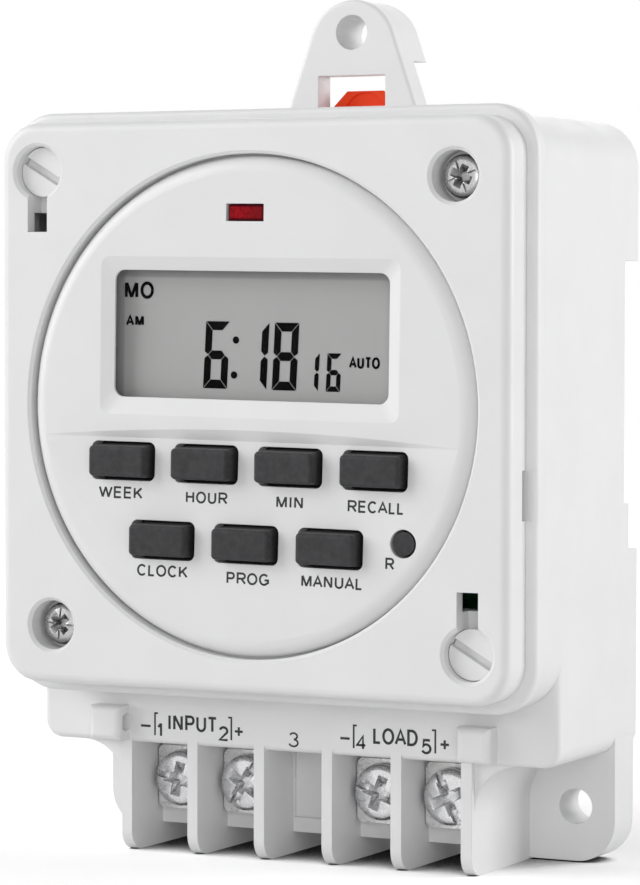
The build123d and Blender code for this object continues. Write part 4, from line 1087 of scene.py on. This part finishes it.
@dataclass
class Housing:
    """Base and cover, with the terminals' print on the shelf."""
    shelf_y: float = FACE_Y + 12.1 * MM
    word_tall: float = 2.02 * MM
    word_weight: float = 0.33 * MM
    digit_tall: float = 1.88 * MM
    digit_wide: float = 1.44 * MM
    one_wide: float = 0.7 * MM
    digit_weight: float = 0.31 * MM
    spare_weight: float = 0.23 * MM     # of the number of the way without a terminal
    line: float = 0.23 * MM
    sign_line: float = 0.30 * MM
    bracket_top: float = -39.15 * MM
    bracket_bottom: float = -41.95 * MM
    sign_z: float = -40.82 * MM
    plus_wide: float = 0.56 * MM        # half the plus sign's width
    plus_tall: float = 0.54 * MM
    rim_front: float = FACE_Y + 4.8 * MM
    rim_round: float = 0.7 * MM
    sill_in: float = 34.8 * MM          # the strip of rim behind the cover's slot
    sill_deep: float = 0.4 * MM
    sill_low: float = -12.9 * MM
    sill_high: float = -7.0 * MM

    def sill(self) -> None:
        """Closes the rim behind the cover's slot, so that only the narrow slot shows."""
        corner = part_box("rear_base")[1][0] - self.rim_round
        end = math.acos(1 - self.sill_deep / self.rim_round)
        outline = [(self.sill_in, -self.rim_front)]
        for angle in (end * step / 8 for step in range(9)):
            outline.append((corner + self.rim_round * math.sin(angle),
                            -self.rim_front - self.rim_round * (1 - math.cos(angle))))
        outline.append((self.sill_in, -self.rim_front - self.sill_deep))
        place = Matrix.Translation((0, 0, (self.sill_high + self.sill_low) / 2))
        install("rim_sill", smoothed(plates([outline], self.sill_high - self.sill_low)), WHITE_CASE,
                "housing", place @ Matrix.Rotation(math.pi / 2, 4, "X"))

    def words(self) -> None:
        """Prints the words and the terminals' numbers."""
        rows = (("INPUT", -14.12, -40.2, 7.0), ("LOAD", 14.11, -40.25, 6.05), ("1", -18.88, -41.2, 0.0),
                ("2", -9.72, -41.2, 0.0), ("3", 0.14, -41.4, 0.0), ("4", 9.45, -41.2, 0.0),
                ("5", 18.28, -41.2, 0.0))
        for text, x, z, wide in rows:
            if wide:
                mesh = lettering(text, wide * MM, self.word_tall, self.word_weight)
            else:
                across = self.one_wide if text == "1" else self.digit_wide
                weight = self.spare_weight if text == "3" else self.digit_weight
                mesh = lettering(text, across, self.digit_tall, weight)
            place = Matrix.Translation((x * MM, self.shelf_y, z * MM))
            printed(f"print_{text.lower()}", mesh, place, "rear_base")

    def signs(self) -> None:
        """Prints the half brackets that bind each pair of terminals, and their signs."""
        top, bottom, level = self.bracket_top, self.bracket_bottom, self.sign_z
        brackets = [[(x * MM, bottom), (x * MM, top), ((x + foot) * MM, top)]
                    for x, foot in ((-19.55, 0.42), (-8.62, -0.45), (8.43, 0.42), (19.48, -0.45))]
        strokes = [[(left * MM, level), (right * MM, level)]
                   for left, right in ((-21.58, -20.2), (6.60, 7.87))]
        for x in (-7.56 * MM, 20.74 * MM):
            strokes.append([(x - self.plus_wide, level), (x + self.plus_wide, level)])
            strokes.append([(x, level - self.plus_tall), (x, level + self.plus_tall)])
        for name, lines, weight in (("brackets", brackets, self.line), ("signs", strokes, self.sign_line)):
            printed(f"print_{name}", ribbons(lines, weight), Matrix.Translation((0, self.shelf_y, 0)),
                    "rear_base")

    def build(self) -> None:
        """Dresses the base and the cover and prints the shelf."""
        dress("rear_base", WHITE_CASE)
        dress("front_cover", WHITE_CASE)
        self.sill()
        self.words()
        self.signs()


@dataclass
class TimerModule:
    """The round module's face, light, lid and key legends."""
    cap_tall: float = 1.46 * MM
    weight: float = 0.25 * MM
    lens_chamfer: float = 0.26 * MM
    lens_lap: float = 0.5 * MM
    lens_flange: float = 0.8 * MM
    legends: tuple[tuple[str, float, float, float], ...] = (
        ("WEEK", -17.43, -10.93, 6.10), ("HOUR", -5.50, -11.13, 5.76), ("MIN", 5.81, -11.22, 3.60),
        ("RECALL", 17.41, -11.34, 7.50), ("CLOCK", -11.38, -20.27, 7.01), ("PROG", 0.38, -20.66, 5.80),
        ("MANUAL", 11.78, -20.50, 8.22), ("R", 19.48, -17.92, 1.2))

    def lens(self) -> Mesh:
        """Builds the lens with its broken front edges and the flange behind it.

        Returns:
            The lens, its middle at the origin.
        """
        low, high = (Vector(corner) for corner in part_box("led_window"))
        half = (high - low) / 2
        turn = abs(math.sin(MODULE_TURN))
        wide, tall = half.x - half.z * turn, half.z - half.x * turn
        front, ledge = -half.y + self.lens_chamfer, half.y - self.lens_flange
        rings = ((-half.y, self.lens_lap + self.lens_chamfer), (front, self.lens_lap),
                 (ledge, self.lens_lap), (ledge, 0.0), (half.y, 0.0))
        return skinned([oblong(y, wide - inset, tall - inset) for y, inset in rings])

    def build(self) -> None:
        """Dresses the module, makes the lens and prints the keys' legends."""
        dress("face_disc", WHITE_FACE)
        dress("module_back", WHITE_CASE)
        install("light_lens", self.lens(), RedLens("red_lens", Slot.RED, across=2.3 * MM), "housing",
                Matrix.Translation(middle("led_window")) @ Matrix.Rotation(MODULE_TURN, 4, "Y"),
                ["led_window"])
        dress("status_led", RedLens("led_resin", Slot.RED, bright_red=(0.5, 0.02, 0.02)))
        for text, x, z, wide in self.legends:
            printed(f"legend_{text.lower()}", lettering(text, wide * MM, self.cap_tall, self.weight),
                    on_module(x * MM, z * MM, FACE_Y), "face_disc")


@dataclass
class SevenSegment:
    """A numeral of seven bars, with its lower left corner at the origin."""
    wide: float
    tall: float
    bar: float                  # width of an upright bar
    level_bar: float            # height of a level one
    gap: float
    lean: float = math.tan(math.radians(2.5))

    SHAPES = {"1": "bc", "6": "acdefg", "8": "abcdefg"}

    def outlines(self, numeral: str) -> list[Outline]:
        """The bars that a numeral lights.

        Args:
            numeral: The numeral.

        Returns:
            The corners of each lit bar.
        """
        w, h, t, d, g = self.wide, self.tall, self.bar, self.level_bar, self.gap
        across = [(g, h), (w - g, h), (w - t - g, h - d), (t + g, h - d)]
        centre = [(t / 2 + g, h / 2), (t + g, h / 2 + d / 2), (w - t - g, h / 2 + d / 2),
                  (w - t / 2 - g, h / 2), (w - t - g, h / 2 - d / 2), (t + g, h / 2 - d / 2)]
        upper = [(w, h - g), (w, h / 2 + d / 3 + g), (w - t / 2, h / 2 + g), (w - t, h / 2 + d / 2 + g),
                 (w - t, h - d - g)]
        bars = {"a": across, "d": [(x, h - z) for x, z in across], "g": centre, "b": upper,
                "c": [(x, h - z) for x, z in upper], "f": [(w - x, z) for x, z in upper],
                "e": [(w - x, h - z) for x, z in upper]}
        return [[(x + z * self.lean, z) for x, z in bars[name]] for name in self.SHAPES[numeral]]


@dataclass
class Display:
    """The liquid crystal display behind its window."""
    width: float = 37.4 * MM
    height: float = 15.5 * MM
    middle_z: float = 8.55 * MM
    panel_y: float = FACE_Y + 2.7 * MM
    stand_off: float = 0.012 * MM
    dot_r: float = 0.45 * MM
    glass: Colour = (0.375, 0.375, 0.372)

    def numerals(self) -> Mesh:
        """Builds the time and the seconds.

        Returns:
            One mesh of lit bars.
        """
        large = SevenSegment(3.3 * MM, 8.15 * MM, 0.94 * MM, 1.07 * MM, 0.055 * MM)
        small = SevenSegment(1.9 * MM, 4.6 * MM, 0.57 * MM, 0.65 * MM, 0.045 * MM)
        rows = ((large, "6", -7.45, 2.05), (large, "1", -2.05, 2.05), (large, "8", 2.0, 2.05),
                (small, "1", 6.35, 2.06), (small, "6", 9.3, 2.06))
        bars = []
        for cell, numeral, x, z in rows:
            for outline in cell.outlines(numeral):
                bars.append([(px + x * MM, pz + z * MM) for px, pz in outline])
        for x, z in ((-2.97, 7.98), (-3.19, 3.74)):
            bars.append([(x * MM + self.dot_r * math.cos(a), z * MM + self.dot_r * math.sin(a))
                         for a in circle(16)])
        return plates(bars, PRINT_THICK)

    def build(self) -> None:
        """Dresses the display and draws what it shows."""
        dress("lcd_window", ClearPane("clear_window", Slot.CLEAR))
        dress("lcd_panel", DisplayGlass("display_glass", Slot.LCD, self.glass, self.width, self.height,
                                        self.middle_z))
        y = self.panel_y - self.stand_off - PRINT_THICK / 2
        install("display_numerals", self.numerals(), SEGMENT_INK, "housing", on_module(0, 0, y))
        for text, x, z, wide, tall, weight in (("MO", -16.51, 13.83, 4.1, 2.15, 0.41),
                                               ("AM", -17.10, 10.09, 2.56, 1.38, 0.32),
                                               ("AUTO", 14.43, 5.61, 4.14, 1.42, 0.30)):
            install(f"display_{text.lower()}", lettering(text, wide * MM, tall * MM, weight * MM),
                    SEGMENT_INK, "housing", on_module(x * MM, z * MM, y + PRINT_THICK / 2))


@dataclass
class Keypad:
    """Seven rubber keys and the round reset button."""
    names: tuple[str, ...] = ("week", "hour", "min", "recall", "clock", "prog", "manual")
    draft: float = 0.27 * MM    # how far each side draws in from the module's face to the key's
    root_y: float = FACE_Y + 0.3 * MM

    def key(self, node: str) -> Mesh:
        """Builds a key whose sides draw in towards its face, as they leave a mould.

        Args:
            node: The key's solid.

        Returns:
            The key's mesh.
        """
        low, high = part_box(node)
        centre = middle(node)
        shape = bmesh.new()
        shape.from_mesh(bpy.data.objects[node].data)
        proud = [vertex for vertex in shape.verts if vertex.co.y < self.root_y]
        wide = max(abs(vertex.co.x - centre.x) for vertex in proud)
        tall = max(abs(vertex.co.z - centre.z) for vertex in proud)
        for vertex in proud:
            share = (self.root_y - vertex.co.y) / (self.root_y - low[1])
            vertex.co.x = centre.x + (vertex.co.x - centre.x) * (1 - self.draft * share / wide)
            vertex.co.z = centre.z + (vertex.co.z - centre.z) * (1 - self.draft * share / tall)
        made = taken(shape, "key")
        normals = made.attributes.get("custom_normal")
        if normals is not None:
            made.attributes.remove(normals)
        return smoothed(made)

    def build(self) -> None:
        """Makes the keys and dresses the mat behind them."""
        for name in self.names:
            node = f"key_{name}"
            install(f"rubber_{node}", self.key(node), KEY_RUBBER, node, stands_for=[node])
        dress("reset_key", KEY_RUBBER)
        dress("keypad_mat", KEY_RUBBER)
        dress("lcd_contact_strips", Rubber("layered_rubber", (0.62, 0.34, 0.34), Slot.PINK))


@dataclass
class TerminalBlock:
    """Screws, clamps and plates of the four terminals."""
    ways: tuple[int, ...] = (1, 2, 4, 5)
    turns: tuple[float, ...] = (12.0, -58.0, 20.0, 66.0)
    head_tall: float = 2.1 * MM
    edge_r: float = 0.85 * MM
    shank_r: float = 1.7 * MM
    pitch: float = 0.6 * MM

    def build(self) -> None:
        """Makes the screws and dresses the clamps and plates."""
        strip = Metal("tinned_brass", (0.78, 0.72, 0.58), Slot.BRASS, 0.3, lines=(8.0, 1.0, 1.0))
        for way, turn in zip(self.ways, self.turns):
            node = f"terminal_screw_{way}"
            low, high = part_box(node)
            seat = low[1] + self.head_tall
            screw = PanScrew((high[0] - low[0]) / 2, self.head_tall, self.edge_r, self.shank_r,
                             high[1] - seat, self.pitch, Drive.CROSS_AND_SLOT, turn)
            at = middle(node)
            install(f"terminal_pan_screw_{way}", screw.mesh(), PLATED, f"screw_{way}",
                    Matrix.Translation((at.x, seat, at.z)), [node])
            dress(f"clamp_washer_{way}", WASHER_PLATING)
            dress(f"terminal_plate_{way}", strip)


@dataclass
class CornerFittings:
    """Two cross screws and two slotted turn latches in the cover's corners."""
    head_r: float = 2.6 * MM
    head_tall: float = 1.7 * MM
    edge_r: float = 0.9 * MM
    shank_r: float = 1.45 * MM
    pitch: float = 1.1 * MM
    places: tuple[tuple[float, float, float], ...] = ((27.4, 27.4, 25.0), (-27.4, -27.4, -40.0))

    def build(self) -> None:
        """Makes the cover screws and dresses the latches."""
        low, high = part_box("cover_screws")
        seat = low[1] + self.head_tall
        screws = []
        for x, z, turn in self.places:
            screw = PanScrew(self.head_r, self.head_tall, self.edge_r, self.shank_r, high[1] - seat,
                             self.pitch, Drive.SCORED_CROSS, turn, thread_deep=0.3, arm_long=1.15)
            mesh = screw.mesh()
            mesh.transform(Matrix.Translation((x * MM, 0, z * MM)))
            screws.append(mesh)
        install("cover_cross_screws", joined(screws), DARK_PLATED, "housing",
                Matrix.Translation((0, seat, 0)), ["cover_screws"])
        dress("latch_post_upper", WHITE_CASE)
        dress("latch_post_lower", WHITE_CASE)


@dataclass
class RailClip:
    """The orange sliding clip and its coil spring."""
    wire_r: float = 0.15 * MM
    coil_r: float = 1.0 * MM
    turns: float = 5.0
    steps: int = 26             # round each turn of the coil
    sides: int = 10             # round the wire
    travel: float = 3.0 * MM

    def spring(self, low: Vector, high: Vector) -> Mesh:
        """Builds the coil spring.

        Args:
            low: The lowest corner of its solid's box.
            high: The highest corner.

        Returns:
            The spring's mesh, in place.
        """
        middle_x, middle_y = (low[0] + high[0]) / 2, (low[1] + high[1]) / 2
        along = int(self.steps * self.turns)
        start, end = low[2] + self.wire_r, high[2] - self.wire_r
        rings = []
        for i in range(along + 1):
            a = 2 * math.pi * self.turns * i / along
            out = Vector((math.cos(a), math.sin(a), 0))
            place = Vector((middle_x, middle_y, start + (end - start) * i / along)) + out * self.coil_r
            rings.append([place + self.wire_r * (math.cos(b) * out + math.sin(b) * Vector((0, 0, 1)))
                          for b in circle(self.sides)])
        made = skinned(rings)
        made.shade_smooth()
        return made

    def build(self) -> None:
        """Makes the spring and dresses the clip."""
        dress("rail_clip", MouldedPlastic("orange_clip", (1.00, 0.062, 0.010), Slot.ORANGE, 0.42,
                                          mottle=0.06, specular=0.25))
        low, high = (Vector(corner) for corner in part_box("rail_clip_spring"))
        wire = Metal("spring_wire", (0.60, 0.60, 0.61), Slot.SPRING, 0.3, lines=(1.0, 1.0, 5.0))
        piece = install("clip_coil_spring", self.spring(low, high), wire, "housing",
                        stands_for=["rail_clip_spring"])
        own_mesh(piece)


@dataclass
class InnerWorks:
    """Boards and the parts that they carry, inside the case."""

    def build(self) -> None:
        """Dresses every inner solid."""
        board = BoardLacquer("board_lacquer", Slot.BOARD)
        case = MouldedPlastic("epoxy_case", (0.025, 0.025, 0.027), Slot.BLACK, 0.5, 0.15, 3 * MM)
        can = Metal("steel_can", (0.68, 0.68, 0.70), Slot.CAN, 0.28, lines=(1.0, 8.0, 1.0))
        finishes = {
            "display_board": board, "power_board": board, "controller_chip": case,
            "bridge_rectifier": case, "board_link": case,
            "smoothing_capacitor": MouldedPlastic("capacitor_sleeve", (0.02, 0.022, 0.03), Slot.BLACK, 0.25),
            "relay": MouldedPlastic("relay_case", (0.03, 0.12, 0.45), Slot.BLUE, 0.3),
            "varistor": MouldedPlastic("varistor_coating", (0.04, 0.14, 0.42), Slot.BLUE, 0.5, 0.12),
            "mains_capacitor": MouldedPlastic("film_case", (0.80, 0.55, 0.06), Slot.YELLOW, 0.35),
            "quartz_crystal": can, "backup_cell": can,
            "module_screws": WASHER_PLATING, "board_screws": WASHER_PLATING}
        for node, finish in finishes.items():
            dress(node, finish)


@dataclass
class Studio:
    """Camera, lamps, floor and world."""
    camera_at: tuple[float, float, float] = (0.208725, -0.423126, 0.014192)
    yaw: float = 27.178
    pitch: float = 2.398
    roll: float = 0.064
    lens: float = 149.07
    sensor: float = 36.0
    ambient: float = 0.27
    floor_r: float = 1.6
    fade_from: float = 0.4      # where the floor begins to fade into the white round it
    fade_to: float = 1.44
    floor_colour: Colour = (0.90, 0.90, 0.90)
    floor_seen: Colour = (1.40, 1.40, 1.40)     # what the camera sees of it, so that it renders white
    contact_reach: float = 16 * MM              # how far under the object its contact shadow darkens
    contact_dark: float = 0.05
    contact_from: float = 0.10  # how open the floor is where the contact shadow is darkest
    contact_to: float = 0.42
    lamps: tuple[tuple[str, tuple[float, float, float], float, float], ...] = (
        ("key_lamp", (-1.18, -0.72, 0.62), 1.2, 0.73), ("front_lamp", (0.60, -1.38, 0.05), 1.1, 0.38),
        ("side_lamp", (1.15, 0.62, 0.26), 0.9, 0.66),
        ("back_lamp", (-0.35, 1.30, 0.50), 0.9, 0.14))

    def camera(self) -> None:
        """Sets the camera where the photograph was taken."""
        yaw, pitch, roll = (math.radians(angle) for angle in (self.yaw, self.pitch, self.roll))
        data = bpy.data.cameras.new("camera")
        data.lens = self.lens
        data.sensor_width = self.sensor
        data.clip_start = 10 * MM
        holder = stand("camera", data)
        holder.matrix_world = (Matrix.Translation(self.camera_at) @ Matrix.Rotation(yaw, 4, "Z")
                               @ Matrix.Rotation(math.pi / 2 - pitch, 4, "X") @ Matrix.Rotation(roll, 4, "Z"))
        bpy.context.scene.camera = holder

    def lamp(self, name: str, at: tuple[float, float, float], size: float, level: float) -> None:
        """Adds a soft lamp that points at the object.

        Args:
            name: The lamp's name.
            at: Where it stands.
            size: The side of its square.
            level: How bright it makes a white face that looks straight at it.
        """
        data = bpy.data.lights.new(name, "AREA")
        data.size = size
        place = Vector(at)
        data.energy = level * math.pi ** 2 * place.length_squared
        holder = stand(name, data)
        holder.location = place
        holder.rotation_euler = (-place).to_track_quat("-Z", "Y").to_euler()

    def world(self) -> None:
        """Lights the object evenly and shows white to the eye, to metal and to glass."""
        world = bpy.data.worlds.new("studio")
        bpy.context.scene.world = world
        world.use_nodes = True
        world.node_tree.nodes.clear()
        nodes = Nodes(world.node_tree)
        even, white = (nodes.feed(nodes.node("ShaderNodeBackground"), Color=(1.0, 1.0, 1.0),
                                  Strength=strength).outputs[0] for strength in (self.ambient, 1.0))
        nodes.feed(nodes.node("ShaderNodeOutputWorld"),
                   Surface=nodes.blended(nodes.to_the_eye(), even, white))

    def floor(self) -> None:
        """Lays a pale floor that keeps the shadow and fades into the white round it."""
        bench = Bench("pale_floor")
        away = bench.feed(bench.node("ShaderNodeVectorMath", operation="LENGTH"), _0=bench.place)
        fade = bench.between(away.outputs["Value"], 1, 0, self.fade_from, self.fade_to)
        colour = bench.mixed(bench.noise(0.3), self.floor_colour, tint(self.floor_colour, 0.99))
        under = bench.between(bench.openness(self.contact_reach), 0, 1, self.contact_from, self.contact_to)
        seen = bench.mixed(under, tint(self.floor_colour, self.contact_dark), self.floor_seen)
        matt = bench.feed(bench.node("ShaderNodeBsdfDiffuse"), Roughness=bench.varied(0.2, 0.4, 0.05),
                          Color=bench.mixed(bench.to_the_eye(), colour, seen))
        clear = bench.node("ShaderNodeBsdfTransparent")
        bench.feed(bench.tree.nodes["Material Output"],
                   Surface=bench.blended(fade, clear.outputs[0], matt.outputs[0]))
        shape = bmesh.new()
        bmesh.ops.create_circle(shape, cap_ends=True, segments=96, radius=self.floor_r)
        mesh = taken(shape, "floor")
        mesh.materials.append(bench.material)
        piece = stand("floor", mesh)
        piece.location = (0, 0, CAD_BOX[0][2])

    def build(self) -> None:
        """Sets up the whole studio."""
        self.camera()
        for name, at, size, level in self.lamps:
            self.lamp(name, at, size, level)
        self.world()
        self.floor()
        bpy.context.scene.view_settings.view_transform = "Standard"


def plain(corners: Sequence[Sequence[float]]) -> list[list[float]]:
    """A box's corners as plain lists."""
    return [[float(value) for value in corner] for corner in corners]


def main() -> None:
    """Builds every sub-assembly in order."""
    Studio().build()
    for assembly in (Housing(), TimerModule(), Display(), Keypad(), TerminalBlock(), CornerFittings(),
                     RailClip(), InnerWorks()):
        LOG.info("%s", type(assembly).__name__)
        assembly.build()


if __name__ == "__main__":
    logging.basicConfig(level=logging.INFO, format="%(message)s")
    main()
